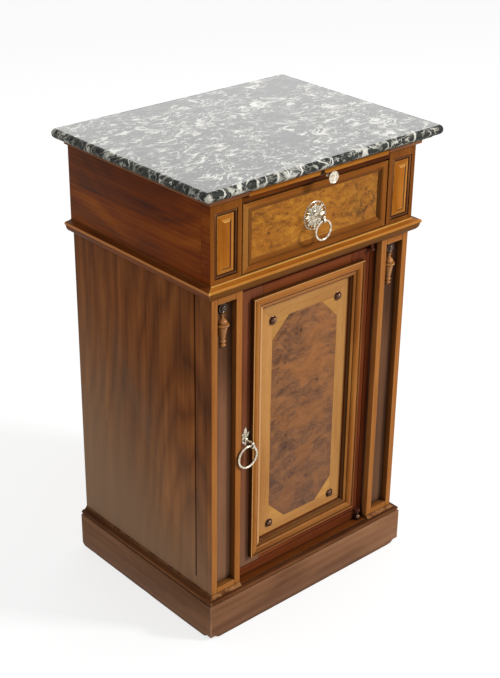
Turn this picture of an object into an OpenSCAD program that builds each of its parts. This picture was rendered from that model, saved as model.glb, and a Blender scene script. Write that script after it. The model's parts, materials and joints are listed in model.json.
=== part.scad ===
// Bedside pot cupboard with a marble top, a pull-out slide, a drawer and a door.
// Millimetres, +Z up. The origin is on the floor, under the centre of the marble's outline.
// Inside at_corner() the origin is the lower case's front left corner, +Y going back.

/* [Case] */
// Width of the lower case
case_w = 410; // [370:1:460]
// Depth of the lower case
case_d = 340; // [310:1:380]
// Thickness of the lower sides
side_t = 18; // [14:1:22]
// Thickness of the back panel
back_t = 10; // [6:1:14]
// Height of the lower stage, between the base board and the waist board
stage_h = 522.5; // [470:0.5:580]
// Thickness of the base board
base_t = 12; // [8:1:16]
// Thickness of the waist board between the two stages
waist_t = 23; // [20:1:28]
// Height of the upper stage, from the waist board to the marble
upper_h = 133.5; // [120:0.5:150]
// How far the upper sides stand out from the lower sides
upper_proud = 3.65; // [2:0.05:5]
// How far the upper front stands out from the lower front
front_proud = 1.7; // [1:0.1:3]

/* [Marble] */
// Overhang of the marble past the lower sides
marble_over_side = 35.5; // [24:0.5:40]
// Overhang of the marble past the lower front
marble_over_front = 32; // [24:0.5:40]
// Overhang of the marble past the back
marble_over_back = 1; // [0:0.5:6]
// Thickness of the marble with its moulded underside
marble_t = 20; // [16:0.5:26]
// Height of the marble's rounded edge
marble_edge_h = 14.5; // [10:0.5:16]
// Radius of the marble's corners in plan
marble_corner_r = 9; // [8:0.5:16]
// How far the underside of the marble is set back from its edge
marble_set_back = 14; // [10:1:18]

/* [Plinth] */
// Height of the plinth boards
plinth_h = 64.5; // [50:0.5:90]
// Thickness of the plinth boards, which is how far they stand out
plinth_t = 12; // [10:0.5:18]
// Height of the bead on top of the plinth
plinth_bead_h = 7.5; // [6.5:0.5:10]
// Radius of the small cove above the bead
plinth_cove_r = 5; // [3:0.5:6]
// Size of the glue blocks in the plinth's corners
glue_block = 28; // [20:1:40]

/* [Pilasters] */
// Width of each corner post
post_w = 59.3; // [54:0.1:66]
// Depth of each corner post with its face frame
post_d = 37; // [30:1:44]
// Thickness of the face frame, which is the depth of the sunk field
face_t = 11; // [8:0.5:13]
// Width of the face frame's uprights
face_stile_w = 11.5; // [9:0.5:14]
// Height of the face frame's bottom rail
face_foot_h = 14.5; // [10:0.5:24]
// Height of the face frame's top rail
face_head_h = 11.5; // [8:0.5:20]
// Width of the groove between post and side
quirk_w = 3; // [2:0.5:4]
// Length of the split turning
turning_l = 73; // [60:1:90]
// Widest radius of the split turning
turning_r = 10.5; // [8:0.5:10.5]

/* [Door] */
// How far the door lies behind the pilasters
bay_d = 14; // [12:0.5:16]
// Width of the fixed strips beside the door
surround_w = 10.7; // [8:0.1:14]
// Height of the fixed strip below the door
sill_h = 16; // [12:0.5:24]
// Height of the fixed strip above the door
head_h = 11.5; // [8:0.5:20]
// Thickness of the door's frame
door_t = 18; // [16:0.5:20]
// Gap around the door
door_gap = 1.5; // [1.5:0.1:2.5]
// Width of the door's flat outer frame beside the raised moulding
door_flat_w = 17; // [14:0.5:24]
// Height of the door's flat outer frame above and below the raised moulding
door_flat_h = 15.5; // [12:0.5:24]
// Width of the raised moulding
raised_w = 23.9; // [20:0.1:28]
// Height of the raised moulding above the door
raised_h = 8.2; // [6:0.1:10]
// How far the panel's face lies behind the door's face
panel_sink = 3.7; // [2:0.1:5]
// Thickness of the door panel that carries the veneers
panel_t = 7; // [5:0.5:8]
// Thickness of the veneers on door and drawer
veneer_t = 1.5; // [1:0.1:2]
// Width of the pale frame's uprights
pale_stile_w = 23.5; // [16:0.5:30]
// Height of the pale frame's top rail
pale_top_h = 27.5; // [16:0.5:36]
// Height of the pale frame's bottom rail
pale_foot_h = 19; // [16:0.5:30]
// Leg of the triangles in the corners of the burl panel
fillet_leg = 34; // [24:1:44]
// Radius of the domed studs
stud_r = 8; // [5:0.1:10]
// Thickness of the stop that the door closes on
stop_t = 11.5; // [8:0.5:16]

/* [Hinges] */
// Distance of the hinge pins in front of the door's face
pin_out = 5.5; // [5:0.1:7]
// Distance of the hinge pins from the bay's edge
pin_in = 3; // [2:0.1:5]
// Radius of the hinge pins
pin_r = 2; // [1.5:0.1:2.5]
// Radial clearance of the pins in their plates
pin_clear = 0.06; // [0.04:0.01:0.1]
// Thickness of the hinge plates
plate_t = 2.5; // [2:0.1:4]

/* [Drawer] */
// Width of the face of each corner block beside the drawer
block_w = 58.65; // [52:0.05:64]
// Gap beside the drawer front
drawer_side_gap = 2; // [1:0.1:3]
// Gap below the drawer front
drawer_foot_gap = 1.5; // [1:0.1:3]
// Gap above the drawer front
drawer_top_gap = 3; // [1.5:0.1:4]
// Thickness of the drawer front
drawer_front_t = 18; // [14:0.5:22]
// Thickness of the mitred frame on the drawer front
drawer_frame_t = 4; // [2:0.1:4.5]
// Height of the drawer frame's top strip
drawer_frame_top = 14.5; // [10:0.5:24]
// Height of the drawer frame's bottom strip
drawer_frame_foot = 19; // [10:0.5:24]
// Width of the drawer frame's end strips
drawer_frame_end = 19; // [10:0.5:24]
// How far left of the middle the drawer's rosette sits
rosette_off = 4; // [0:0.5:8]
// Thickness of the drawer's sides and back
drawer_wall_t = 10; // [7:0.5:14]
// Thickness of the drawer's bottom
drawer_bottom_t = 6; // [4:0.5:8]
// Length of the drawer, front to back
drawer_l = 300; // [240:1:325]

/* [Slide] */
// Height of the rail under the slide
rail_h = 8; // [6:0.5:12]
// Thickness of the slide
slide_t = 12; // [8:0.5:12]
// Gap between the slide and the marble
slide_head_gap = 1.6; // [1:0.1:3]
// Gap between the slide and its bearers
slide_foot_gap = 0.4; // [0.3:0.1:1]
// Distance of the slide's ends from the case sides
slide_inset = 64; // [60:0.5:76]
// How far the slide's front stands out from the upper front
slide_nose = 5.8; // [3:0.1:8]
// Length of the slide, front to back
slide_l = 300; // [220:1:325]
// Radius of the slide's knob
knob_r = 9.6; // [7:0.1:10]
// How far the knob's face stands out from the slide's front
knob_reach = 24; // [18:0.5:24.5]

/* [Rings] */
// Radius of the door ring, at the middle of its wire
door_ring_r = 18.2; // [14:0.1:20]
// Thickness of the door ring's wire
door_wire = 4; // [3:0.1:4.5]
// How far the door ring hangs to the left of its eye
door_ring_lean = 9.8; // [0:0.1:10]
// Radius of the drawer ring, at the middle of its wire
drawer_ring_r = 15.2; // [12:0.1:18]
// Thickness of the drawer ring's wire
drawer_wire = 3.4; // [2.5:0.1:4]
// Distance of the door ring in front of the door's face
door_ring_out = 16.8; // [16.5:0.1:20]
// Distance of the drawer ring in front of the drawer's frame
drawer_ring_out = 16.8; // [12:0.1:20]
// Clearance of the rings in their eyes
ring_clear = 0.6; // [0.5:0.05:0.8]

/* [Hidden] */
$fn = 48;
EPS = 0.01;
CUT = 60;
// hairline between two strips that meet in a joint
HAIR = 0.1;

// heights
base_z = plinth_h + plinth_bead_h;
waist_z = base_z + stage_h;
upper_z = waist_z + waist_t;
marble_z = upper_z + upper_h;

// plan. The case is at least deep enough for its drawer and its slide
back_gap = 1;
drawer_face_y = -front_proud + 0.5;
slide_y = -front_proud - slide_nose;
depth = max(case_d, drawer_face_y + drawer_l + back_gap + back_t,
    slide_y + slide_l + back_gap + back_t);
marble_w = case_w + 2 * marble_over_side;
marble_d = depth + marble_over_front + marble_over_back;
front_y = marble_over_front - marble_d / 2;
mid_x = case_w / 2;

// door bay
bay_x = post_w + surround_w;
bay_w = case_w - 2 * bay_x;
bay_z = base_z + sill_h;
bay_top = waist_z - head_h;
door_x = bay_x + door_gap;
door_w = bay_w - 2 * door_gap;
door_z = bay_z + door_gap;
door_h = bay_top - bay_z - 2 * door_gap;
raised_x = door_x + door_flat_w;
raised_z = door_z + door_flat_h;
raised_fw = door_w - 2 * door_flat_w;
raised_fh = door_h - 2 * door_flat_h;
door_stile_w = door_flat_w + raised_w;
door_rail_h = door_flat_h + raised_w;
panel_x = door_x + door_stile_w;
panel_z = door_z + door_rail_h;
panel_w = door_w - 2 * door_stile_w;
panel_h = door_h - 2 * door_rail_h;
panel_y = bay_d + panel_sink + veneer_t;
burl_x = panel_x + pale_stile_w;
burl_z = panel_z + pale_foot_h;
burl_w = panel_w - 2 * pale_stile_w;
burl_h = panel_h - pale_foot_h - pale_top_h;
surround_t = door_t + 0.5;

// hinge pins
pin_x = case_w - bay_x - pin_in;
pin_y = bay_d - pin_out;
hinge_arm_w = 9;
hinge_leaf_l = 14;
collar_r = 4;
collar_h = 3;
ball_r = pin_out - 0.1;

// drawer
block_x = -upper_proud;
block_d = 20;
block_back = block_d - front_proud;
drawer_x = block_x + block_w + drawer_side_gap;
drawer_w = case_w - 2 * drawer_x;
drawer_z = upper_z + drawer_foot_gap;
rail_z = marble_z - slide_head_gap - slide_t - slide_foot_gap - rail_h;
drawer_h = rail_z - drawer_top_gap - drawer_z;
drawer_ground_y = drawer_face_y + drawer_frame_t;
drawer_back_y = drawer_ground_y + drawer_front_t;
drawer_box_x = drawer_x + 3;
drawer_box_w = case_w - 2 * drawer_box_x;
drawer_run = 0.3;
drawer_wall_h = drawer_h - 8;
drawer_bottom_z = upper_z + 5;
guide_w = 14;
guide_h = 15;
guide_gap = 0.6;

// slide
slide_end_gap = 0.5;
slide_z = rail_z + rail_h + slide_foot_gap;
lipping_d = 10;
bearer_grip = 16;
knob_z = slide_z + 3.4;
knob_x = mid_x + 1;
knob_t = 2.4;
rose_r = 4.5;
rose_t = 2;
stem_r = 2.2;

// ring pulls
eye_l = 5;
eye_wall = 1.8;
boss_rise = 2.3;
boss_r = 3.9;
boss_stem_r = 2.4;
pull_plate_t = 1.5;
pull_x = door_x + door_flat_w / 2 + 0.3;
pull_w = door_flat_w - 1;
pull_h = 34;
door_eye_y = bay_d - door_ring_out;
door_eye_z = base_z + 251.6;
door_ring_drop = sqrt(door_ring_r * door_ring_r - door_ring_lean * door_ring_lean);
door_ring_tilt = asin(door_ring_lean / door_ring_r);
rosette_x = mid_x - rosette_off;
rosette_r = 23;
rosette_t = 3.5;
rosette_z = drawer_z + 54.5;
drawer_eye_y = drawer_face_y - drawer_ring_out;
drawer_eye_z = rosette_z - boss_rise;

BROWN = [0.42, 0.24, 0.15];
DARK = [0.26, 0.12, 0.07];
REDDISH = [0.38, 0.17, 0.09];
ORANGE = [0.72, 0.44, 0.22];
PALE = [0.78, 0.53, 0.28];
MAUVE = [0.40, 0.22, 0.17];
BURL = [0.55, 0.33, 0.16];
PINE = [0.76, 0.62, 0.42];
MARBLE = [0.25, 0.25, 0.25];
METAL = [0.78, 0.77, 0.73];
BLACK = [0.12, 0.10, 0.09];

// ---------- helpers ----------

// points on an arc, from angle a0 to angle a1
function arc(cx, cy, r, a0, a1, n = 8) =
    [for (i = [0:n]) [cx + r * cos(a0 + (a1 - a0) * i / n), cy + r * sin(a0 + (a1 - a0) * i / n)]];

// the outward part of a profile multiplied by k
function scaled_out(points, k) = [for (p = points) [p[0] * k, p[1]]];

module at_corner() {
    translate([-case_w / 2, front_y, 0]) children();
}

module mirrored_right() {
    translate([case_w, 0, 0]) mirror([1, 0, 0]) children();
}

module both_sides() {
    children();
    mirrored_right() children();
}

// a box from one corner to the other
module box(low, high) {
    translate(low) cube(high - low);
}

// a profile of [outward, up] points run along X, outward being -Y
module run_along_front(points, length) {
    rotate([90, 0, 90]) linear_extrude(length) polygon([for (p = points) [-p[0], p[1]]]);
}

// a profile of [outward, up] points run along Y from y = 0, outward being -X
module run_along_side(points, length) {
    translate([0, length, 0]) rotate([90, 0, 0])
        linear_extrude(length) polygon([for (p = points) [-p[0], p[1]]]);
}

// a moulding across the front of a case w wide, mitred at both ends
module front_moulding(points, w, over, k) {
    intersection() {
        translate([-over, 0, 0]) run_along_front(scaled_out(points, k), w + 2 * over);
        linear_extrude(marble_z + CUT)
            polygon([[HAIR, 0], [HAIR - over, -over * k], [w + over - HAIR, -over * k],
                     [w - HAIR, 0]]);
    }
}

// a moulding along the left side of a case d deep, mitred at its front end
module side_moulding(points, d, over, k) {
    intersection() {
        translate([0, -over * k, 0]) run_along_side(points, d + over * k);
        linear_extrude(marble_z + CUT)
            polygon([[0, 0], [-over, -over * k], [-over, d], [0, d]]);
    }
}

// a flat mitred frame w by h in the XZ plane, from y = 0 back to y = t, as four strips
module flat_frame(w, h, stile, foot, head, t) {
    strips = [
        [[HAIR, 0], [w - HAIR, 0], [w - stile - HAIR, foot], [stile + HAIR, foot]],
        [[HAIR, h], [stile + HAIR, h - head], [w - stile - HAIR, h - head], [w - HAIR, h]],
        [[0, 0], [stile, foot], [stile, h - head], [0, h]],
        [[w, 0], [w, h], [w - stile, h - head], [w - stile, foot]]
    ];
    for (strip = strips)
        translate([0, t, 0]) rotate([90, 0, 0]) linear_extrude(t) polygon(strip);
}

// one moulded strip along X, of a profile of [inward, forward] points, mitred inwards
module moulded_strip(points, length, width, reach, gap = 0) {
    intersection() {
        rotate([90, 0, 90]) linear_extrude(length) polygon([for (p = points) [-p[1], p[0]]]);
        translate([0, reach, 0]) rotate([90, 0, 0]) linear_extrude(2 * reach)
            polygon([[gap, 0], [length - gap, 0], [length - width - gap, width],
                     [width + gap, width]]);
    }
}

// four moulded strips round a rectangle w by h in the XZ plane
module moulded_frame(points, w, h, width, reach) {
    moulded_strip(points, w, width, reach, HAIR);
    translate([0, 0, h]) mirror([0, 0, 1]) moulded_strip(points, w, width, reach, HAIR);
    mirror([1, 0, -1]) moulded_strip(points, h, width, reach);
    translate([w, 0, 0]) mirror([1, 0, 0]) mirror([1, 0, -1])
        moulded_strip(points, h, width, reach);
}

// a bevelled field w by h, its face forward of y = 0 by t
module fielded_panel(w, h, t, bevel) {
    edge = t / 3;
    intersection() {
        linear_extrude(h)
            polygon([[0, 0], [0, -edge], [bevel, -t], [w - bevel, -t], [w, -edge], [w, 0]]);
        rotate([90, 0, 90]) linear_extrude(w)
            polygon([[0, 0], [-edge, 0], [-t, bevel], [-t, h - bevel], [-edge, h], [0, h]]);
    }
}

// ---------- marble and cornice ----------

module marble_top() {
    inner = max(marble_corner_r, marble_set_back);
    round_r = marble_edge_h / 2;
    edge_z = marble_z + marble_t - marble_edge_h;
    color(MARBLE) {
        // rounded edge member
        translate([-marble_w / 2, -marble_d / 2, edge_z]) bullnose_slab(marble_w, marble_d,
            marble_edge_h, marble_corner_r, round_r);
        // set-back member under it
        box([-marble_w / 2 + inner, -marble_d / 2 + inner, marble_z],
            [marble_w / 2 - inner, marble_d / 2 - marble_over_back, edge_z + EPS]);
    }
}

// a slab with rounded corners in plan and a rounded edge
module bullnose_slab(w, d, h, corner, r) {
    nose = concat([[0, 0]], arc(corner - r, r, r, -90, 90, 12), [[0, h]]);
    box([corner, corner, 0], [w - corner, d - corner, h]);
    for (c = [[corner, corner, 180], [w - corner, corner, 270],
              [w - corner, d - corner, 0], [corner, d - corner, 90]])
        translate([c[0], c[1], 0]) rotate([0, 0, c[2]]) rotate_extrude(angle = 90) polygon(nose);
    translate([corner, corner, 0]) run_along_front(nose, w - 2 * corner);
    translate([corner, corner, 0]) run_along_side(nose, d - 2 * corner);
    translate([w - corner, d - corner, 0]) rotate([0, 0, 180]) {
        run_along_front(nose, w - 2 * corner);
        run_along_side(nose, d - 2 * corner);
    }
}

cornice_h = 10;
cornice_lip_h = 3;
cornice_lip = 6.35;
cornice_out = 13.35;
cornice_nose_r = 1.5;
cornice_foot_z = marble_z - cornice_h;
CORNICE = concat(
    [[0, cornice_foot_z], [cornice_lip - cornice_nose_r, cornice_foot_z]],
    arc(cornice_lip - cornice_nose_r, cornice_foot_z + cornice_nose_r, cornice_nose_r, -90, 0, 4),
    arc(cornice_out, cornice_foot_z + cornice_lip_h, cornice_out - cornice_lip, 180, 90, 8),
    [[0, marble_z]]
);

module cornice_moulding() {
    upper_w = case_w + 2 * upper_proud;
    color(BROWN) at_corner() {
        both_sides() {
            translate([-upper_proud, -front_proud, 0])
                side_moulding(CORNICE, depth + front_proud, CUT, 1);
            intersection() {
                translate([-upper_proud, -front_proud, 0])
                    front_moulding(CORNICE, upper_w, CUT, 1);
                box([-CUT, -CUT, marble_z - 2 * cornice_h],
                    [slide_inset - slide_end_gap, CUT, marble_z + CUT]);
            }
        }
    }
}

// ---------- upper stage ----------

module upper_side() {
    box([-upper_proud, block_back, upper_z], [side_t, depth, marble_z]);
}

module upper_side_left() { color(DARK) at_corner() upper_side(); }

module upper_side_right() { color(DARK) at_corner() mirrored_right() upper_side(); }

block_rim = 8;
block_sink = 4;
block_foot = 7;
block_pocket_z = upper_z + block_foot;
block_pocket_w = block_w - 2 * block_rim;
block_pocket_h = rail_z - 4 - block_pocket_z;
block_bead_w = 6;
block_field_t = 5.5;
block_field_bevel = 10;
BLOCK_BEAD_R = 2.2;

module corner_block() {
    difference() {
        box([block_x, -front_proud, upper_z], [block_x + block_w, block_back, marble_z]);
        box([block_x + block_rim, -front_proud - 1, block_pocket_z],
            [block_x + block_rim + block_pocket_w, -front_proud + block_sink,
             block_pocket_z + block_pocket_h]);
    }
}

module corner_block_left() { color(ORANGE) at_corner() corner_block(); }

module corner_block_right() { color(ORANGE) at_corner() mirrored_right() corner_block(); }

// the small bead round the inside of each block's sunk field
BLOCK_BEAD = concat(
    [[0, 0], [0, 0.8]],
    arc(block_bead_w - BLOCK_BEAD_R - 0.8, 1.2, BLOCK_BEAD_R, 160, 20, 8),
    [[block_bead_w, 0]]
);

module block_beads() {
    color(ORANGE) at_corner() both_sides()
        translate([block_x + block_rim, -front_proud + block_sink, block_pocket_z])
            moulded_frame(BLOCK_BEAD, block_pocket_w, block_pocket_h, block_bead_w, 10);
}

module block_panel() {
    field_w = block_pocket_w - 2 * block_bead_w;
    field_h = block_pocket_h - 2 * block_bead_w;
    translate([block_x + block_rim + block_bead_w, -front_proud + block_sink,
               block_pocket_z + block_bead_w])
        fielded_panel(field_w, field_h, block_field_t, block_field_bevel);
}

module block_panel_left() { color(PALE) at_corner() block_panel(); }

module block_panel_right() { color(PALE) at_corner() mirrored_right() block_panel(); }

module slide_rail() {
    rail_x = block_x + block_w;
    color(REDDISH) at_corner() {
        box([rail_x, -front_proud, rail_z], [case_w - rail_x, block_back, rail_z + rail_h]);
        both_sides() box([rail_x, -front_proud, rail_z + rail_h + HAIR],
            [slide_inset - slide_end_gap, block_back, marble_z]);
    }
}

module slide_bearers() {
    color(PINE) at_corner() both_sides() {
        box([side_t, block_back, rail_z],
            [slide_inset + bearer_grip, depth - back_t, rail_z + rail_h]);
        box([side_t, block_back, rail_z + rail_h + HAIR],
            [slide_inset - slide_end_gap, depth - back_t, marble_z]);
    }
}

module drawer_guides() {
    guide_x = drawer_box_x - guide_gap;
    color(PINE) at_corner() both_sides()
        box([guide_x - guide_w, drawer_back_y + guide_gap, upper_z],
            [guide_x, depth - back_t, upper_z + guide_h]);
}

// ---------- waist ----------

module waist_board() {
    color(BROWN) at_corner() difference() {
        box([0, 0, waist_z], [case_w, depth, upper_z]);
        box([side_t, depth - back_t, waist_z - 1], [case_w - side_t, depth + 1, upper_z + 1]);
    }
}

waist_out = 16.5;
waist_front_share = 0.84;
WAIST = concat(
    [[0, waist_z], [2, waist_z + 1], [5, waist_z + 4.5], [10, waist_z + 10.3],
     [14.6, waist_z + 13.6]],
    arc(waist_out - 2.6, waist_z + 17.4, 2.6, -70, 90, 8),
    [[9.5, waist_z + 20.4], [upper_proud, upper_z], [0, upper_z]]
);

module waist_moulding() {
    color(ORANGE) at_corner() {
        front_moulding(WAIST, case_w, CUT, waist_front_share);
        both_sides() side_moulding(WAIST, depth, CUT, waist_front_share);
    }
}

// ---------- lower stage ----------

quirk_foot = 23;
quirk_head = 4;

module lower_side() {
    difference() {
        box([0, post_d, base_z], [side_t, depth, waist_z]);
        box([-1, post_d - 1, base_z + quirk_foot],
            [quirk_w, post_d + quirk_w, waist_z - quirk_head]);
    }
}

module lower_side_left() { color(BROWN) at_corner() lower_side(); }

module lower_side_right() { color(BROWN) at_corner() mirrored_right() lower_side(); }

module corner_post() {
    box([0, face_t, base_z], [post_w, post_d, waist_z]);
}

module corner_post_left() { color(BROWN) at_corner() corner_post(); }

module corner_post_right() { color(BROWN) at_corner() mirrored_right() corner_post(); }

module pilaster_frame() {
    box([0, 0, base_z], [face_stile_w, face_t, waist_z]);
    box([post_w - face_stile_w, 0, base_z], [post_w, face_t, waist_z]);
    for (z = [[base_z, base_z + face_foot_h], [waist_z - face_head_h, waist_z]])
        box([face_stile_w + HAIR, 0, z[0]], [post_w - face_stile_w - HAIR, face_t, z[1]]);
}

module pilaster_frame_left() { color(ORANGE) at_corner() pilaster_frame(); }

module pilaster_frame_right() { color(ORANGE) at_corner() mirrored_right() pilaster_frame(); }

// half profile of the split turning: [radius, distance up from its tip], for a length of 1
module split_turning() {
    r = turning_r;
    l = turning_l;
    z = waist_z - face_head_h - 5 - l;
    profile = concat(
        [[0, 0], [0.14 * r, 0.005 * l]],
        arc(0.22 * r, 0.05 * l, 0.22 * r, -60, 60, 6),
        arc(0.26 * r, 0.13 * l, 0.24 * r, -60, 60, 6),
        [[0.42 * r, 0.19 * l], [0.5 * r, 0.27 * l], [0.66 * r, 0.38 * l], [0.74 * r, 0.44 * l]],
        arc(0.7 * r, 0.5 * l, 0.3 * r, -60, 60, 8),
        [[0.52 * r, 0.59 * l], [0.5 * r, 0.64 * l], [0.3 * r, 0.68 * l],
         [0.26 * r, 0.74 * l], [0.5 * r, 0.84 * l], [0, 0.84 * l]]
    );
    translate([post_w / 2, face_t, z]) {
        intersection() {
            rotate_extrude($fn = 64) polygon(profile);
            box([-2 * r, -2 * r, -1], [2 * r, 0, 2 * l]);
        }
        // round patera above the turning
        translate([0, 0, 0.9 * l]) rotate([90, 0, 0]) {
            cylinder(r = 0.8 * r, h = 0.35 * r);
            cylinder(r = 0.5 * r, h = 0.55 * r);
        }
    }
}

module split_turning_left() { color(ORANGE) at_corner() split_turning(); }

module split_turning_right() { color(ORANGE) at_corner() mirrored_right() split_turning(); }

module surround_stiles() {
    color(REDDISH) at_corner() both_sides()
        box([post_w, bay_d, base_z], [bay_x, bay_d + surround_t, waist_z]);
}

module surround_rails() {
    color(REDDISH) at_corner() {
        box([bay_x, bay_d, base_z], [case_w - bay_x, bay_d + surround_t, bay_z]);
        box([bay_x, bay_d, bay_top], [case_w - bay_x, bay_d + surround_t, waist_z]);
    }
}

module door_stop() {
    stop_w = surround_w + 7;
    color(PINE) at_corner()
        box([post_w, bay_d + surround_t, bay_z],
            [post_w + stop_w, bay_d + surround_t + stop_t, bay_top]);
}

module base_board() {
    color(PINE) at_corner() difference() {
        box([0, 0, base_z - base_t], [case_w, depth, base_z]);
        box([side_t, depth - back_t, base_z - base_t - 1],
            [case_w - side_t, depth + 1, base_z + 1]);
    }
}

module back_panel() {
    color(PINE) at_corner()
        box([side_t, depth - back_t, base_z - base_t], [case_w - side_t, depth, marble_z]);
}

// ---------- plinth ----------

module plinth_front() {
    color(BROWN) at_corner() linear_extrude(plinth_h)
        polygon([[-plinth_t, -plinth_t], [case_w + plinth_t, -plinth_t], [case_w, 0], [0, 0]]);
}

module plinth_sides() {
    color(BROWN) at_corner() both_sides() linear_extrude(plinth_h)
        polygon([[-plinth_t, -plinth_t], [0, 0], [0, depth], [-plinth_t, depth]]);
}

module plinth_back() {
    color(PINE) at_corner()
        box([0, depth - plinth_t, 0], [case_w, depth, base_z - base_t]);
}

bead_r = (plinth_bead_h - 1.2) / 2;
PLINTH_BEAD = concat(
    [[0, plinth_h], [plinth_t - 2.6, plinth_h], [plinth_t - 2.6, plinth_h + 1.2]],
    arc(plinth_t - 1 - bead_r, plinth_h + 1.2 + bead_r, bead_r, -60, 90, 8),
    [[plinth_cove_r + 1, base_z]],
    arc(plinth_cove_r + 1, base_z + plinth_cove_r, plinth_cove_r, 270, 180, 6),
    [[0, base_z + plinth_cove_r]]
);

module plinth_moulding() {
    color(BROWN) at_corner() {
        difference() {
            front_moulding(PLINTH_BEAD, case_w, CUT, 1);
            box([post_w, -CUT, base_z], [case_w - post_w, CUT, base_z + CUT]);
        }
        both_sides() side_moulding(PLINTH_BEAD, depth, CUT, 1);
    }
}

module glue_blocks() {
    block_h = base_z - base_t - 8;
    color(PINE) at_corner() both_sides() {
        box([0, 0, 8], [glue_block, glue_block, 8 + block_h]);
        box([0, depth - plinth_t - glue_block, 8], [glue_block, depth - plinth_t, 8 + block_h]);
    }
}

// ---------- hinges ----------

module hinge_pins() {
    lower_top = door_z + plate_t;
    upper_foot = door_z + door_h - plate_t;
    color(BLACK) at_corner() {
        // ball on the ledge, with the lower pin standing in it
        intersection() {
            union() {
                translate([pin_x, pin_y, base_z + ball_r - 0.6]) sphere(r = ball_r);
                translate([pin_x, pin_y, base_z + ball_r]) cylinder(r = pin_r,
                    h = lower_top - base_z - ball_r);
            }
            box([0, -CUT, base_z], [case_w, CUT, waist_z]);
        }
        // collar under the waist board, with the upper pin hanging from it
        translate([pin_x, pin_y, waist_z - collar_h]) cylinder(r = collar_r, h = collar_h);
        translate([pin_x, pin_y, upper_foot]) cylinder(r = pin_r, h = waist_z - upper_foot);
    }
}

// outline of a hinge plate in plan: an eye round the pin and a leaf let into the door
module hinge_plate_outline() {
    leaf_x = pin_x - hinge_arm_w / 2;
    translate([pin_x, pin_y]) circle(d = hinge_arm_w);
    translate([leaf_x, pin_y]) square([door_x + door_w - leaf_x, bay_d + hinge_leaf_l - pin_y]);
}

module hinge_plates() {
    color(BLACK) at_corner() for (z = [door_z, door_z + door_h - plate_t])
        translate([0, 0, z]) difference() {
            linear_extrude(plate_t) hinge_plate_outline();
            translate([pin_x, pin_y, -1]) cylinder(r = pin_r + pin_clear, h = plate_t + 2);
        }
}

// ---------- door ----------

module door_stiles() {
    leaf_x = pin_x - hinge_arm_w / 2;
    color(MAUVE) at_corner() {
        box([door_x, bay_d, door_z], [door_x + door_stile_w, bay_d + door_t, door_z + door_h]);
        difference() {
            box([door_x + door_w - door_stile_w, bay_d, door_z],
                [door_x + door_w, bay_d + door_t, door_z + door_h]);
            for (z = [door_z - 1, door_z + door_h - plate_t])
                box([leaf_x, bay_d - 1, z],
                    [case_w, bay_d + hinge_leaf_l, z + plate_t + (z < door_z ? 1 : 2)]);
        }
    }
}

module door_rails() {
    color(MAUVE) at_corner() for (z = [door_z, door_z + door_h - door_rail_h])
        box([door_x + door_stile_w, bay_d, z],
            [door_x + door_w - door_stile_w, bay_d + door_t, z + door_rail_h]);
}

raised_wall = 6;
raised_bead_w = 15.7;
RAISED = concat(
    [[0, 0], [0, raised_wall]],
    arc(raised_bead_w / 2, raised_h - 8.2, 8.2, 140, 45, 8),
    arc(21.5, 6.8, 6.8, 190, 268, 6),
    [[raised_w, 0]]
);

module door_moulding() {
    color(ORANGE) at_corner() translate([raised_x, bay_d, raised_z])
        moulded_frame(RAISED, raised_fw, raised_fh, raised_w, 20);
}

module door_panel() {
    color(PINE) at_corner()
        box([panel_x, panel_y, panel_z], [panel_x + panel_w, panel_y + panel_t, panel_z + panel_h]);
}

module pale_frame() {
    color(PALE) at_corner() translate([panel_x, panel_y - veneer_t, panel_z])
        flat_frame(panel_w, panel_h, pale_stile_w, pale_foot_h, pale_top_h, veneer_t);
}

module corner_fillets() {
    color([0.86, 0.66, 0.36]) at_corner() translate([burl_x, panel_y, burl_z])
        for (c = [[0, 0], [0, 1], [1, 0], [1, 1]])
            translate([c[0] * burl_w, 0, c[1] * burl_h]) mirror([c[0], 0, 0]) mirror([0, 0, c[1]])
                rotate([90, 0, 0]) linear_extrude(veneer_t)
                    polygon([[0, 0], [fillet_leg, 0], [0, fillet_leg]]);
}

module door_burl() {
    leg = fillet_leg;
    color(BURL) at_corner() translate([burl_x, panel_y, burl_z]) rotate([90, 0, 0])
        linear_extrude(veneer_t) polygon([
            [leg, 0], [burl_w - leg, 0], [burl_w, leg], [burl_w, burl_h - leg],
            [burl_w - leg, burl_h], [leg, burl_h], [0, burl_h - leg], [0, leg]
        ]);
}

module door_studs() {
    dome_sink = 2.2;
    color(BLACK) at_corner() translate([burl_x, panel_y - veneer_t, burl_z])
        for (x = [0, burl_w], z = [0, burl_h]) translate([x, dome_sink, z]) intersection() {
            sphere(r = stud_r);
            box([-CUT, -CUT, -CUT], [CUT, -dome_sink, CUT]);
        }
}

// ---------- ring pulls ----------

// stem, ball and eye of a ring pull. The eye is at the origin and its plate at y = reach
module ring_boss(reach, wire, tilt) {
    hole_r = wire / 2 + ring_clear;
    difference() {
        union() {
            translate([0, reach, boss_rise]) rotate([90, 0, 0]) cylinder(r = boss_stem_r, h = reach);
            translate([0, 0, boss_rise]) sphere(r = boss_r);
            rotate([0, 90 + tilt, 0]) cylinder(r = hole_r + eye_wall, h = eye_l, center = true);
        }
        rotate([0, 90 + tilt, 0]) cylinder(r = hole_r, h = 6 * eye_l, center = true);
    }
}

module ring(r, wire) {
    rotate([90, 0, 0]) rotate_extrude($fn = 64) translate([r, 0]) circle(d = wire, $fn = 24);
}

module pull_boss() {
    color(METAL) at_corner() translate([pull_x, door_eye_y, door_eye_z])
        ring_boss(door_ring_out - pull_plate_t, door_wire, door_ring_tilt);
}

module door_ring() {
    color(METAL) at_corner()
        translate([pull_x - door_ring_lean, door_eye_y, door_eye_z - door_ring_drop])
            ring(door_ring_r, door_wire);
}

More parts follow.
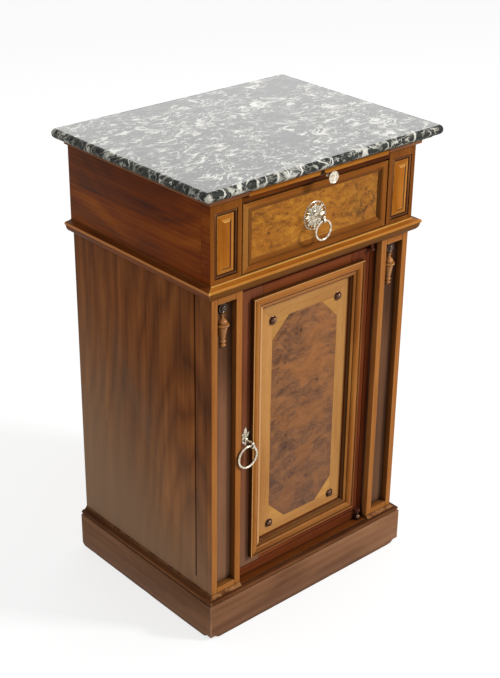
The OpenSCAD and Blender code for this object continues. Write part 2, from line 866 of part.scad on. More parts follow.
// half outline of the leaf-shaped plate: [out from the middle, up], as shares of its size
LEAF = [[0, 0], [0.12, 0.01], [0.3, 0.06], [0.36, 0.14], [0.72, 0.2], [0.82, 0.3], [0.5, 0.38],
        [0.62, 0.46], [1, 0.56], [0.9, 0.68], [0.55, 0.72], [0.42, 0.82], [0.2, 0.9], [0, 1]];

module pull_plate() {
    half_w = pull_w / 2;
    n = len(LEAF);
    left = [for (i = [n - 1:-1:0]) [-LEAF[i][0] * half_w, LEAF[i][1] * pull_h]];
    right = [for (p = LEAF) [p[0] * half_w, p[1] * pull_h]];
    color(METAL) at_corner() translate([pull_x, bay_d, door_eye_z - 7]) rotate([90, 0, 0])
        linear_extrude(pull_plate_t) difference() {
            polygon(concat(right, [for (i = [1:n - 2]) left[i]]));
            for (side = [-1, 1]) translate([side * 0.32 * half_w, 0.55 * pull_h]) circle(r = 1.2);
        }
}

module drawer_rosette() {
    leaves = 8;
    color(METAL) at_corner() translate([rosette_x, drawer_ground_y - veneer_t, rosette_z])
        rotate([90, 0, 0]) difference() {
            union() {
                cylinder(r = 0.74 * rosette_r, h = rosette_t - 1);
                for (i = [0:leaves - 1]) rotate([0, 0, i * 360 / leaves])
                    translate([0.74 * rosette_r, 0, 0]) cylinder(r = 0.26 * rosette_r, h = 2);
                cylinder(r = 0.4 * rosette_r, h = rosette_t);
            }
            for (i = [0:leaves - 1]) rotate([0, 0, (i + 0.5) * 360 / leaves])
                translate([0.58 * rosette_r, 0, -1]) cylinder(r = 0.09 * rosette_r, h = 8);
        }
}

module drawer_boss() {
    rosette_face_y = drawer_ground_y - veneer_t - rosette_t;
    color(METAL) at_corner() translate([rosette_x, drawer_eye_y, drawer_eye_z])
        ring_boss(rosette_face_y - drawer_eye_y, drawer_wire, 0);
}

module drawer_ring() {
    color(METAL) at_corner() translate([rosette_x, drawer_eye_y, drawer_eye_z - drawer_ring_r])
        ring(drawer_ring_r, drawer_wire);
}

// ---------- drawer ----------

module drawer_front() {
    color(PINE) at_corner()
        box([drawer_x, drawer_ground_y, drawer_z],
            [drawer_x + drawer_w, drawer_back_y, drawer_z + drawer_h]);
}

module drawer_frame() {
    color(ORANGE) at_corner() translate([drawer_x, drawer_face_y, drawer_z])
        flat_frame(drawer_w, drawer_h, drawer_frame_end, drawer_frame_foot, drawer_frame_top,
            drawer_frame_t);
}

module drawer_burl() {
    color(BURL) at_corner()
        box([drawer_x + drawer_frame_end, drawer_ground_y - veneer_t, drawer_z + drawer_frame_foot],
            [drawer_x + drawer_w - drawer_frame_end, drawer_ground_y,
             drawer_z + drawer_h - drawer_frame_top]);
}

module drawer_side() {
    box([drawer_box_x, drawer_back_y, upper_z + drawer_run],
        [drawer_box_x + drawer_wall_t, drawer_face_y + drawer_l, upper_z + drawer_wall_h]);
}

module drawer_side_left() { color(PINE) at_corner() drawer_side(); }

module drawer_side_right() { color(PINE) at_corner() mirrored_right() drawer_side(); }

module drawer_back() {
    inner_x = drawer_box_x + drawer_wall_t;
    color(PINE) at_corner()
        box([inner_x, drawer_face_y + drawer_l - drawer_wall_t, drawer_bottom_z + drawer_bottom_t],
            [case_w - inner_x, drawer_face_y + drawer_l, upper_z + drawer_wall_h - 4]);
}

module drawer_bottom() {
    inner_x = drawer_box_x + drawer_wall_t;
    color(PINE) at_corner()
        box([inner_x, drawer_back_y, drawer_bottom_z],
            [case_w - inner_x, drawer_face_y + drawer_l, drawer_bottom_z + drawer_bottom_t]);
}

// ---------- slide ----------

module slide_board() {
    color(PINE) at_corner()
        box([slide_inset, slide_y + lipping_d, slide_z],
            [case_w - slide_inset, slide_y + slide_l, slide_z + slide_t]);
}

module slide_lipping() {
    nose_r = 3;
    profile = concat(
        [[-lipping_d, 0]], arc(-nose_r, nose_r, nose_r, -90, 0, 4),
        arc(-nose_r, slide_t - nose_r, nose_r, 0, 90, 4), [[-lipping_d, slide_t]]
    );
    color(ORANGE) at_corner() translate([slide_inset, slide_y, slide_z])
        run_along_front(profile, case_w - 2 * slide_inset);
}

module knob_rose() {
    color(BLACK) at_corner() translate([knob_x, slide_y, knob_z]) rotate([90, 0, 0])
        difference() {
            cylinder(r = rose_r, h = rose_t);
            translate([0, 0, -1]) cylinder(r = stem_r, h = rose_t + 2);
        }
}

module slide_knob() {
    color(METAL) at_corner() translate([knob_x, slide_y, knob_z]) rotate([90, 0, 0]) {
        cylinder(r = stem_r, h = knob_reach - knob_t);
        translate([0, 0, knob_reach - knob_t]) cylinder(r = knob_r, h = knob_t);
    }
}

marble_top();
cornice_moulding();
upper_side_left();
upper_side_right();
corner_block_left();
corner_block_right();
block_beads();
block_panel_left();
block_panel_right();
slide_rail();
slide_bearers();
drawer_guides();
waist_board();
waist_moulding();
lower_side_left();
lower_side_right();
corner_post_left();
corner_post_right();
pilaster_frame_left();
pilaster_frame_right();
split_turning_left();
split_turning_right();
surround_stiles();
surround_rails();
door_stop();
base_board();
back_panel();
plinth_front();
plinth_sides();
plinth_back();
plinth_moulding();
glue_blocks();
hinge_pins();
slide_board();
slide_lipping();
knob_rose();
slide_knob();
drawer_front();
drawer_frame();
drawer_burl();
drawer_side_left();
drawer_side_right();
drawer_back();
drawer_bottom();
drawer_rosette();
drawer_boss();
drawer_ring();
door_stiles();
door_rails();
door_moulding();
door_panel();
pale_frame();
corner_fillets();
door_burl();
door_studs();
hinge_plates();
pull_plate();
pull_boss();
door_ring();
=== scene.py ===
# Bedside pot cupboard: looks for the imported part.
# Sizes are in metres, in the part's own frame: +X right, +Y back, +Z up, the floor at z = 0.
import json
import math
import random
from functools import partial

import bmesh
import bpy
from mathutils import Matrix, Vector, noise


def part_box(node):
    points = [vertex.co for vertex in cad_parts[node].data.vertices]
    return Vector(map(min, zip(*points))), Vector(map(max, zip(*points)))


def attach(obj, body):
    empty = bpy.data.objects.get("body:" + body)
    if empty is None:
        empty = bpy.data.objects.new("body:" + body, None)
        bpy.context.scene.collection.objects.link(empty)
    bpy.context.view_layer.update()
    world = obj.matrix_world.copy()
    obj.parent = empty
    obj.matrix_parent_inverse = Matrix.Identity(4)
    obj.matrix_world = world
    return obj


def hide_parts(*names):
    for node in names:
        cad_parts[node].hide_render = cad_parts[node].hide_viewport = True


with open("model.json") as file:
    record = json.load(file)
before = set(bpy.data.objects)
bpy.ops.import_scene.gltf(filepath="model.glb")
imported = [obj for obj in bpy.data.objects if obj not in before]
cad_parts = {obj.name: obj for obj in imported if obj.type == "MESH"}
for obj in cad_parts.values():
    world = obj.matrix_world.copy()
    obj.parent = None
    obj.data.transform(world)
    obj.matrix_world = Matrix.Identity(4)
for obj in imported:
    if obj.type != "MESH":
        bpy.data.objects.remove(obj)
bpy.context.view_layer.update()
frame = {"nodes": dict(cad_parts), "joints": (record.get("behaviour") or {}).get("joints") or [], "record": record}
NODES = frame["nodes"]
RECORD = frame["record"]
BODY_OF = {node: body for body, nodes in RECORD["behaviour"]["bodies"].items() for node in nodes}
MM = 0.001
HAIR = 0.05 * MM  # the gap between two strips that meet
CREASE = 38  # degrees between faces from which an edge stays sharp
AMBER = (1.0, 0.6, 0.3, 1)  # the tint of old varnish's gloss
X, Y, Z = Vector((1, 0, 0)), Vector((0, 1, 0)), Vector((0, 0, 1))


# ---------- placing pieces ----------

def span(node):
    """The lowest and highest corners of a node's box."""
    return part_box(node)


def middle_of_back(node):
    """The middle of the back of a node's box."""
    low, high = span(node)
    return Vector(((low.x + high.x) / 2, high.y, (low.z + high.z) / 2))


def new_object(name, data):
    """An object in the scene with these data."""
    made = bpy.data.objects.new(name, data)
    bpy.context.scene.collection.objects.link(made)
    return made


def stand_for(piece, slot, *nodes):
    """The piece replaces these nodes and rides on their body."""
    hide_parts(*nodes)
    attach(piece, BODY_OF[nodes[0]])
    return piece


# ---------- wiring materials ----------

def tone(red, green, blue):
    """A colour as it is seen, 0 to 255, as a linear colour."""
    def linear(c):
        c /= 255
        return c / 12.92 if c <= 0.04045 else ((c + 0.055) / 1.055) ** 2.4
    return (linear(red), linear(green), linear(blue), 1)


def darker(colour, share):
    """A share of a colour, both as they are seen."""
    return tone(*[c * share for c in colour])


class Finish:
    """A material while it is wired."""

    def __init__(self, name, roughness=0.4, coat=0.0, coat_roughness=0.2, metallic=0.0, ior=1.5,
                 specular=0.5, gloss_tint=(1, 1, 1, 1)):
        self.material = bpy.data.materials.new(name)
        self.material.use_nodes = True
        self.tree = self.material.node_tree
        self.shader = self.tree.nodes["Principled BSDF"]
        self.shader.inputs["Roughness"].default_value = roughness
        self.shader.inputs["Coat Weight"].default_value = coat
        self.shader.inputs["Coat Roughness"].default_value = coat_roughness
        self.shader.inputs["Metallic"].default_value = metallic
        self.shader.inputs["IOR"].default_value = ior
        self.shader.inputs["Specular IOR Level"].default_value = specular
        self.shader.inputs["Specular Tint"].default_value = gloss_tint

    def node(self, kind, **settings):
        made = self.tree.nodes.new(kind)
        for key, value in settings.items():
            setattr(made, key, value)
        return made

    def put(self, socket, value):
        if isinstance(value, bpy.types.NodeSocket):
            self.tree.links.new(value, socket)
        else:
            socket.default_value = value

    def math(self, operation, a, b=0.5, c=0.5, clamp=False):
        made = self.node("ShaderNodeMath", operation=operation, use_clamp=clamp)
        for socket, value in zip(made.inputs, (a, b, c)):
            self.put(socket, value)
        return made.outputs[0]

    def vector(self, operation, a, b=(0, 0, 0)):
        made = self.node("ShaderNodeVectorMath", operation=operation)
        self.put(made.inputs[0], a)
        self.put(made.inputs[1], b)
        return made.outputs["Value" if operation in ("LENGTH", "DOT_PRODUCT") else "Vector"]

    def axes(self, vector):
        """The three numbers of a vector."""
        made = self.node("ShaderNodeSeparateXYZ")
        self.put(made.inputs[0], vector)
        return made.outputs

    def turned(self, vector, rotation, scale):
        """A vector turned by angles in degrees, then scaled."""
        made = self.node("ShaderNodeMapping", vector_type="POINT")
        self.put(made.inputs["Vector"], vector)
        made.inputs["Rotation"].default_value = [math.radians(angle) for angle in rotation]
        made.inputs["Scale"].default_value = scale
        return made.outputs[0]

    def mix(self, factor, a, b, blend="MIX"):
        made = self.node("ShaderNodeMix", data_type="RGBA", blend_type=blend)
        self.put(made.inputs[0], factor)
        self.put(made.inputs[6], a)
        self.put(made.inputs[7], b)
        return made.outputs[2]

    def over(self, colour, top, *shares):
        """A colour with another laid over it by the product of the shares."""
        share = shares[0]
        for other in shares[1:]:
            share = self.math("MULTIPLY", share, other)
        return self.mix(share, colour, top)

    def swayed(self, base, value, gain, clamp=False):
        """The base, moved by up to half the gain either way by a value from 0 to 1."""
        return self.math("MULTIPLY_ADD", self.math("SUBTRACT", value, 0.5), gain, base, clamp=clamp)

    def noise(self, vector, scale, detail=3.0, rough=0.5, distortion=0.0, colour=False):
        made = self.node("ShaderNodeTexNoise")
        self.put(made.inputs["Vector"], vector)
        made.inputs["Scale"].default_value = scale
        made.inputs["Detail"].default_value = detail
        made.inputs["Roughness"].default_value = rough
        made.inputs["Distortion"].default_value = distortion
        return made.outputs["Color" if colour else "Fac"]

    def drift(self, vector, scale, detail, rough=0.5):
        """Noise of three numbers about 0, to push a place to and fro."""
        return self.vector("SUBTRACT", self.noise(vector, scale, detail, rough, colour=True), (0.5, 0.5, 0.5))

    def step(self, value, low, high, to_low=0.0, to_high=1.0):
        """A smooth step from to_low to to_high between two values."""
        made = self.node("ShaderNodeMapRange", interpolation_type="SMOOTHSTEP")
        for socket, number in zip(made.inputs, (value, low, high, to_low, to_high)):
            self.put(socket, number)
        return made.outputs[0]

    def ramp(self, factor, *stops):
        made = self.node("ShaderNodeValToRGB")
        self.put(made.inputs[0], factor)
        points = made.color_ramp.elements
        for i, (place, colour) in enumerate(stops):
            point = points[i] if i < 2 else points.new(place)
            point.position, point.color = place, colour
        return made.outputs[0]

    def fade(self, value, low, high, most=1.0):
        """A smooth step down to 0 between two values."""
        return self.step(value, low, high, most, 0.0)

    def corners(self, reach, inside=False):
        """How open a spot is, from 0 in a tight corner to 1 in the open."""
        made = self.node("ShaderNodeAmbientOcclusion", samples=6, inside=inside)
        made.inputs["Distance"].default_value = reach
        return made.outputs["AO"]

    def place(self):
        return self.node("ShaderNodeTexCoord").outputs["Object"]

    def own_number(self):
        """The number that each separate strip of a piece was given."""
        return self.node("ShaderNodeAttribute", attribute_name="strip").outputs["Fac"]

    def shade_and_wear(self):
        """How much painted shade a face takes, from 0 to 1, and below 0 how much pale wear and painted highlight.
        """
        return self.node("ShaderNodeAttribute", attribute_name="shade_and_wear").outputs["Fac"]

    def raised(self, height, depth, strength=1.0):
        made = self.node("ShaderNodeBump")
        made.inputs["Strength"].default_value = strength
        made.inputs["Distance"].default_value = depth
        self.put(made.inputs["Height"], height)
        self.put(self.shader.inputs["Normal"], made.outputs[0])

    def colour(self, value):
        self.put(self.shader.inputs["Base Color"], value)
        return self.material


def grain_place(finish, grain):
    """Coordinates with the grain along the first of them, moved on for each strip."""
    place = finish.axes(finish.place())
    own = finish.own_number()
    order = {"X": (0, 1, 2), "Y": (1, 0, 2), "Z": (2, 0, 1)}[grain]
    joined = finish.node("ShaderNodeCombineXYZ")
    for socket, index, shift in zip(joined.inputs, order, (3.1, 0.23, 0.31)):
        finish.put(socket, finish.math("MULTIPLY_ADD", own, shift, place[index]))
    return joined.outputs[0]


HEART_ACROSS, HEART_BELOW = -0.195, 0.07
# tones of a painted reflection of the pale floor low down, and of dirt and painted shade in corners
FLOOR_SHEEN_TONE, DIRT_AND_SHADE_TONE = tone(160, 128, 100), tone(30, 14, 8)


def wood(name, grain, dark, middle_tone, light, ring=0.007, wander=0.02, tilt=0.05, figure=0.5,
         streaks=0.3, mottle=0.25, pores=0.3, grime=0.55, reach=0.012, roughness=0.42, coat=0.0,
         specular=0.06, wear=0.0, worn_tone=(196, 140, 88), haze=None, shade=None):
    """Varnished wood cut from a log, with rings, fibres, pores, patina, and dirt and painted shade in its corners.

    floor sheen: the strength of a painted reflection of the pale floor low down at the front, and the heights it
    fades between.
    shade: the heights a painted shade starts and ends at, and how much."""
    f = Finish(name, coat=coat, coat_roughness=0.25, specular=specular, gloss_tint=AMBER)
    place = grain_place(f, grain)

    def grained(along, across, *more):
        """Noise with so many waves a metre along the grain and across it."""
        return f.noise(f.vector("MULTIPLY", place, (along, across, across)), 1.0, *more)

    bend = grained(2.2, 9, 2.0)
    fine_bend = grained(9, 60, 2.0)
    along, across, through = f.axes(place)
    # distance from the heart of the log, whose own middle is off to the side and below
    side = f.math("MULTIPLY_ADD", along, tilt, f.math("ABSOLUTE", across))
    side = f.math("ADD", side, f.math("MULTIPLY_ADD", bend, wander * 2, HEART_ACROSS - wander))
    deep = f.math("MULTIPLY_ADD", bend, wander, f.math("ADD", through, HEART_BELOW))
    heart = f.math("SQRT", f.math("ADD", f.math("MULTIPLY", side, side), f.math("MULTIPLY", deep, deep)))
    turns = f.math("ADD", f.math("DIVIDE", heart, ring), f.math("MULTIPLY", fine_bend, 0.5))
    year = f.math("POWER", f.math("PINGPONG", turns, 1.0), 1.7)
    fibre = grained(22, 620, 3.0, 0.6)
    streak = grained(1.6, 70, 3.0, 0.55)
    cloud = grained(4.5, 13, 3.0, 0.55, 0.6)
    pore = f.step(grained(85, 1500, 2.0), 0.6, 0.72)
    lightness = f.math("ADD", f.math("MULTIPLY", year, -figure), 0.5 + figure / 2)
    lightness = f.swayed(lightness, streak, streaks * 2.2)
    lightness = f.swayed(lightness, cloud, mottle * 2.4)
    lightness = f.swayed(lightness, fibre, 0.35, clamp=True)
    colour = f.ramp(lightness, (0.0, tone(*dark)), (1.0, tone(*light)), (0.5, tone(*middle_tone)))
    strip_tint = f.ramp(f.own_number(), (0.0, tone(120, 96, 84)), (1.0, tone(255, 240, 222)))
    colour = f.mix(0.16, colour, strip_tint, "MULTIPLY")
    colour = f.over(colour, darker(dark, 0.45), pore, pores)
    if wear:
        edge = f.fade(f.corners(0.0022, inside=True), 0.42, 0.8)
        rubbed = f.step(f.noise(place, 60, 3.0, 0.65), 0.35, 0.6)
        colour = f.over(colour, tone(*worn_tone), edge, rubbed, wear)
    if haze or shade:
        _, back, height = f.axes(f.place())
    # a painted reflection of the pale floor, paler low down at the front
    if haze:
        amount, start, end = haze
        level = f.math("MULTIPLY_ADD", back, -0.7, height)
        low = f.fade(f.math("MULTIPLY_ADD", cloud, 0.16, level), start, end)
        colour = f.over(colour, FLOOR_SHEEN_TONE, low, amount)
    # painted shade on faces given a value above 0
    shading = f.math("MULTIPLY", f.shade_and_wear(), f.math("MULTIPLY_ADD", streak, 0.5, 0.62), clamp=True)
    colour = f.mix(shading, colour, darker(dark, 0.42))
    # pale wear and painted highlights on faces given a value below 0
    worn = f.math("MULTIPLY", f.shade_and_wear(), f.math("MULTIPLY_ADD", streak, -1.0, -0.4), clamp=True)
    colour = f.mix(worn, colour, tone(*worn_tone))
    # painted shade that deepens upwards, over the recesses under the waist moulding
    if shade:
        start, end, amount = shade
        up = f.step(f.math("MULTIPLY_ADD", cloud, 0.05, height), start, end)
        colour = f.over(colour, darker(dark, 0.35), up, amount)
    # dirt and painted shade: darker where corners and recesses close in
    dirt_and_shade_share = f.math("MULTIPLY", f.fade(f.corners(reach), 0.25, 0.85), grime)
    colour = f.mix(dirt_and_shade_share, colour, DIRT_AND_SHADE_TONE)
    gloss = f.math("MULTIPLY_ADD", cloud, 0.18, roughness - 0.09)
    gloss = f.math("MULTIPLY_ADD", pore, 0.12, gloss)
    f.put(f.shader.inputs["Roughness"], f.math("MULTIPLY_ADD", dirt_and_shade_share, 0.25, gloss, clamp=True))
    relief = f.math("MULTIPLY_ADD", pore, -0.6, f.math("MULTIPLY", fibre, 0.5))
    f.raised(f.math("MULTIPLY_ADD", cloud, 0.8, relief), 0.00012, 0.7)
    return f.colour(colour)


def family(name, *tones, **settings):
    """The same wood with its grain along X, Y and Z."""
    return [wood(f"{name}_{axis.lower()}", axis, *tones, **settings) for axis in "XYZ"]


def burl_veneer(name, dark, mid, light, warm_tone, scale, seed, low_tone=None, dark_side=None, knots=()):
    """Figured burl: warm and plain clouds of fine curly grain with small dark eyes.

    It turns to the low tone towards the floor, and has dark cracks to the right of dark_side.
    Each knot is (x, z, size)."""
    f = Finish(name, coat=0.08, coat_roughness=0.2, specular=0.2, gloss_tint=AMBER)
    place = f.vector("ADD", f.place(), (seed, seed * 0.7, -seed))
    drift, curl = f.drift(place, 15, 2.0), f.drift(place, 60, 3.0)
    bent = f.vector("ADD", place, f.vector("MULTIPLY", drift, (0.05, 0.05, 0.05)))
    bent = f.vector("ADD", bent, f.vector("MULTIPLY", curl, (0.016, 0.016, 0.016)))
    leaning = f.turned(bent, (0, -38, 0), (0.6, 1, 1.5))
    cloud = f.noise(leaning, scale, 5.0, 0.62, 0.4)
    line = f.noise(f.vector("MULTIPLY", leaning, (1.0, 1.0, 2.6)), scale * 3.4, 3.0, 0.6, 1.0)
    level = f.swayed(0.5, cloud, 1.7)
    level = f.swayed(level, line, 1.2)
    level = f.swayed(level, f.noise(place, 9, 2.0), 0.6, clamp=True)
    colour = f.ramp(level, (0.12, tone(*dark)), (0.88, tone(*light)), (0.5, tone(*mid)))
    warm = f.step(f.noise(f.vector("ADD", bent, (0.4, 0.4, 0.4)), 17, 3.0, 0.6, 0.5), 0.47, 0.62)
    colour = f.over(colour, tone(*warm_tone), warm, 0.5)
    across, _, up = f.axes(f.place())
    if dark_side is not None:
        crack = f.math("ABSOLUTE", f.math("SUBTRACT", f.noise(bent, 22, 4.0, 0.55, 0.8), 0.5))
        crack = f.math("MULTIPLY", f.fade(crack, 0.0, 0.05), f.step(f.noise(place, 18, 2.0), 0.42, 0.54))
        side = f.step(across, dark_side, dark_side + 0.08)
        colour = f.over(colour, darker(dark, 0.45), crack, side, 0.85)
        colour = f.over(colour, tone(*dark), side, 0.25)
    cells = f.node("ShaderNodeTexVoronoi")
    f.put(cells.inputs["Vector"], bent)
    cells.inputs["Scale"].default_value = scale * 1.7
    eye = f.fade(cells.outputs["Distance"], 0.06, 0.18)
    some = f.step(f.noise(place, 24, 1.0), 0.5, 0.62)
    colour = f.over(colour, darker(dark, 0.55), eye, some, 0.7)
    halo_tone = tone(*[(a + b) / 2 for a, b in zip(dark, warm_tone)])
    for x, z, size in knots:
        away = f.vector("MULTIPLY", f.vector("SUBTRACT", f.place(), (x, 0, z)), (1.0, 0.0, 0.8))
        away = f.vector("ADD", away, f.vector("MULTIPLY", curl, (0.009, 0.0, 0.009)))
        reach = f.vector("LENGTH", away)
        colour = f.mix(f.fade(reach, size, size * 3.0, 0.6), colour, halo_tone)
        colour = f.mix(f.fade(reach, size * 0.4, size, 0.9), colour, darker(dark, 0.5))
    if low_tone:
        low = f.fade(f.math("MULTIPLY_ADD", cloud, 0.1, up), 0.12, 0.5, 0.6)
        colour = f.mix(low, colour, f.mix(0.6, colour, tone(*low_tone)))
    # painted shade where the frame closes in round the veneer
    colour = f.over(colour, tone(38, 20, 10), f.fade(f.corners(0.008), 0.3, 0.9), 0.5)
    f.put(f.shader.inputs["Roughness"], f.math("MULTIPLY_ADD", cloud, 0.2, 0.28))
    f.raised(level, 0.00012, 0.4)
    return f.colour(colour)


# The marble's white veins start from the slab's near left corner, just under its top.
SLAB_LOW, SLAB_HIGH = span("marble_top")
EDGE_START = (SLAB_LOW.x, SLAB_LOW.y, SLAB_HIGH.z - 0.0075)
# Those that cross its front edge: metres from the left end, lean, thickness, how far back they run.
EDGE_VEINS = ((0.033, 0.3, 0.0034, 0.004), (0.060, -0.8, 0.0040, 0.012), (0.092, -0.2, 0.0044, 0.006),
              (0.109, 0.4, 0.0030, 0.005), (0.131, -0.3, 0.0060, 0.007), (0.150, -0.2, 0.0040, 0.006),
              (0.177, 0.5, 0.0036, 0.005), (0.236, 0.6, 0.0040, 0.009), (0.300, -0.5, 0.0044, 0.008),
              (0.352, 0.3, 0.0030, 0.006), (0.410, -0.4, 0.0050, 0.010))


def veined_marble(name, coat, coat_roughness, specular, bold=0.0, roughness=0.2):
    """Near-black marble with clusters of cream flecks, strokes and a few long veins, bolder if asked."""
    f = Finish(name, coat=coat, coat_roughness=coat_roughness, ior=1.6, specular=specular)
    place = f.place()
    bent = f.vector("ADD", place, f.vector("MULTIPLY", f.drift(place, 11, 3.0, 0.6), (0.06, 0.05, 0.06)))
    flow = f.turned(bent, (0, 0, -14), (0.7, 1.25, 1.0))
    crowd = f.step(f.noise(flow, 15, 2.0, 0.5), 0.32, 0.56)
    fleck = f.step(f.noise(flow, 78, 5.0, 0.66, 0.4), 0.53 - 0.02 * bold, 0.63 - 0.04 * bold)
    patch = f.step(f.noise(flow, 30, 5.0, 0.66, 0.6), 0.585 - 0.02 * bold, 0.64 - 0.03 * bold)
    ridge = f.math("ABSOLUTE", f.math("SUBTRACT", f.noise(flow, 19, 4.0, 0.55, 0.7), 0.5))
    vein = f.fade(ridge, 0.004, 0.02 + 0.02 * bold)
    vein = f.math("MULTIPLY", vein, f.step(f.noise(place, 21, 2.0), 0.42, 0.58))
    ridge = f.math("ABSOLUTE", f.math("SUBTRACT", f.noise(bent, 31, 3.0, 0.5, 0.4), 0.52))
    thread = f.math("MULTIPLY", f.fade(ridge, 0.0, 0.011), crowd)
    white = f.math("MULTIPLY", fleck, f.math("MULTIPLY_ADD", crowd, 0.85, 0.05))
    white = f.math("MAXIMUM", white, patch)
    white = f.math("MAXIMUM", white, f.math("MAXIMUM", vein, f.math("MULTIPLY", thread, 0.8)))
    waver = f.vector("SUBTRACT", place, EDGE_START)
    fine = f.vector("MULTIPLY", f.drift(place, 70, 3.0, 0.6), (0.016, 0.016, 0.016))
    waver = f.vector("ADD", waver, fine)
    behind = f.axes(waver)[1]
    for across, lean, thick, reach in EDGE_VEINS:
        along_edge = f.vector("DOT_PRODUCT", waver, (1.0, lean, -0.22))
        gap = f.math("ABSOLUTE", f.math("SUBTRACT", along_edge, across))
        line = f.fade(gap, thick * 0.3, thick * 0.6)
        crossing = f.math("MULTIPLY", line, f.fade(behind, reach, reach + 0.006))
        white = f.math("MAXIMUM", white, crossing)
    from_corner = f.vector("LENGTH", f.vector("ADD", waver, (-0.005, -0.002, 0.001)))
    ragged = f.math("MULTIPLY_ADD", f.noise(place, 240, 4.0, 0.7), 0.014, from_corner)
    white = f.math("MAXIMUM", white, f.fade(ragged, 0.0125, 0.015))
    ground = f.ramp(f.noise(place, 70, 5.0, 0.65), (0.3, tone(22, 25, 20)), (0.75, tone(62, 64, 58)))
    cream = f.ramp(f.noise(place, 45, 3.0), (0.3, tone(196, 192, 176)), (0.7, tone(238, 236, 226)))
    colour = f.mix(white, ground, cream)
    f.put(f.shader.inputs["Roughness"], f.math("MULTIPLY_ADD", f.noise(place, 30, 3.0), 0.12, roughness))
    f.raised(f.noise(place, 260, 3.0), 0.00005, 0.4)
    return f.colour(colour)


def bright_metal(name, light, dull, dark, roughness=0.24):
    """Silvered brass, rubbed bright, with dark tarnish and painted shade in its hollows."""
    f = Finish(name, roughness=roughness, metallic=1.0)
    place = f.place()
    worn = f.noise(place, 220, 4.0, 0.6)
    colour = f.mix(f.step(worn, 0.36, 0.6), tone(*light), tone(*dull))
    tarnish_and_shade = f.fade(f.corners(0.005), 0.35, 0.95)
    colour = f.over(colour, tone(*dark), tarnish_and_shade, 0.85)
    gloss = f.math("MULTIPLY_ADD", worn, 0.2, roughness - 0.08)
    f.put(f.shader.inputs["Roughness"], f.math("MULTIPLY_ADD", tarnish_and_shade, 0.3, gloss, clamp=True))
    f.raised(f.noise(place, 420, 2.0, 0.5), 0.00005, 0.12)
    return f.colour(colour)


def dark_metal(name, light, dark, roughness=0.36, metallic=0.85):
    """Dark browned metal with rubbed high spots."""
    f = Finish(name, metallic=metallic, specular=0.2)
    place = f.place()
    worn = f.noise(place, 320, 4.0, 0.6)
    colour = f.mix(f.step(worn, 0.42, 0.66), tone(*dark), tone(*light))
    # darker in its corners: painted shade
    colour = f.over(colour, tone(18, 12, 9), f.fade(f.corners(0.004), 0.3, 0.9), 0.7)
    f.put(f.shader.inputs["Roughness"], f.math("MULTIPLY_ADD", worn, 0.25, roughness - 0.12))
    f.raised(worn, 0.00012, 0.6)
    return f.colour(colour)


DARK_WALNUT = family("dark_walnut", (64, 22, 6), (130, 58, 12), (172, 92, 28), ring=0.004, figure=0.12,
                     streaks=0.35, mottle=0.95, grime=0.6, tilt=0.02, haze=(0.1, 0.6, 0.82))
WALNUT = family("walnut", (66, 32, 12), (136, 78, 38), (190, 120, 62), ring=0.013, figure=0.28,
                streaks=0.42, mottle=0.42, wander=0.06, tilt=0.2, grime=0.6, haze=(0.85, 0.12, 0.56))
POST_WALNUT = family("post_walnut", (92, 54, 34), (146, 100, 72), (178, 130, 96), ring=0.007, figure=0.14,
                     mottle=0.3, grime=0.95, reach=0.03, haze=(0.3, 0.12, 0.62), shade=(0.42, 0.52, 0.5))
# the mauve tone holds a painted sheen of bright surroundings; the redder walnut is the same wood without it
MAUVE_WALNUT = family("mauve_walnut", (84, 42, 26), (128, 72, 46), (156, 96, 64), ring=0.005, figure=0.12,
                      streaks=0.25, mottle=0.4, grime=0.6, roughness=0.36, haze=(0.5, 0.12, 0.62))
RED_WALNUT = family("red_walnut", (66, 24, 12), (116, 56, 28), (154, 84, 44), ring=0.005, figure=0.12,
                    streaks=0.3, mottle=0.35, grime=0.75, roughness=0.34)
ORANGE_WOOD = family("orange_wood", (126, 70, 28), (178, 112, 54), (212, 146, 78), ring=0.006, figure=0.14,
                     streaks=0.25, mottle=0.3, grime=0.7, wear=0.3)
BLOCK_WOOD = family("block_wood", (98, 50, 14), (142, 82, 28), (180, 116, 50), ring=0.006, figure=0.14,
                    streaks=0.25, mottle=0.4, grime=0.7, wear=0.4, worn_tone=(206, 150, 76))
GOLDEN_WOOD = family("golden_wood", (120, 62, 14), (184, 110, 34), (226, 154, 62), ring=0.006, figure=0.14,
                     streaks=0.3, mottle=0.35, grime=0.7, wear=0.8, worn_tone=(232, 178, 96))
NOSE_WOOD = family("nose_wood", (88, 40, 14), (150, 80, 32), (196, 120, 60), ring=0.006, figure=0.14,
                   streaks=0.4, mottle=0.5, grime=0.8, wear=0.6, worn_tone=(226, 150, 84))
PALE_WOOD = family("pale_wood", (146, 88, 40), (202, 144, 82), (226, 172, 106), ring=0.007, figure=0.12,
                   streaks=0.2, mottle=0.35, grime=0.5, reach=0.006)
TRIANGLE_WOOD = family("triangle_wood", (170, 116, 56), (206, 150, 82), (226, 176, 106), ring=0.008,
                       figure=0.1, streaks=0.2, mottle=0.2, grime=0.4, reach=0.004)
RAISED_WOOD = family("raised_wood", (106, 54, 18), (170, 102, 40), (210, 144, 68), ring=0.006, figure=0.16,
                     streaks=0.35, mottle=0.3, grime=0.85, reach=0.014, roughness=0.3, specular=0.15,
                     worn_tone=(236, 178, 112))
PLINTH_WOOD = family("plinth_wood", (92, 58, 40), (140, 98, 70), (172, 126, 92), ring=0.009, figure=0.14,
                     streaks=0.35, mottle=0.5, grime=0.6, wear=0.6, worn_tone=(186, 142, 108))
CORNICE_WOOD = family("cornice_wood", (104, 56, 30), (156, 100, 64), (200, 146, 104), ring=0.006,
                      figure=0.15, streaks=0.3, mottle=0.3, grime=0.5)
BEAD_WOOD = family("bead_wood", (58, 30, 16), (112, 66, 38), (162, 106, 64), ring=0.006, figure=0.15,
                   streaks=0.5, mottle=0.7, grime=0.9, wear=0.6)
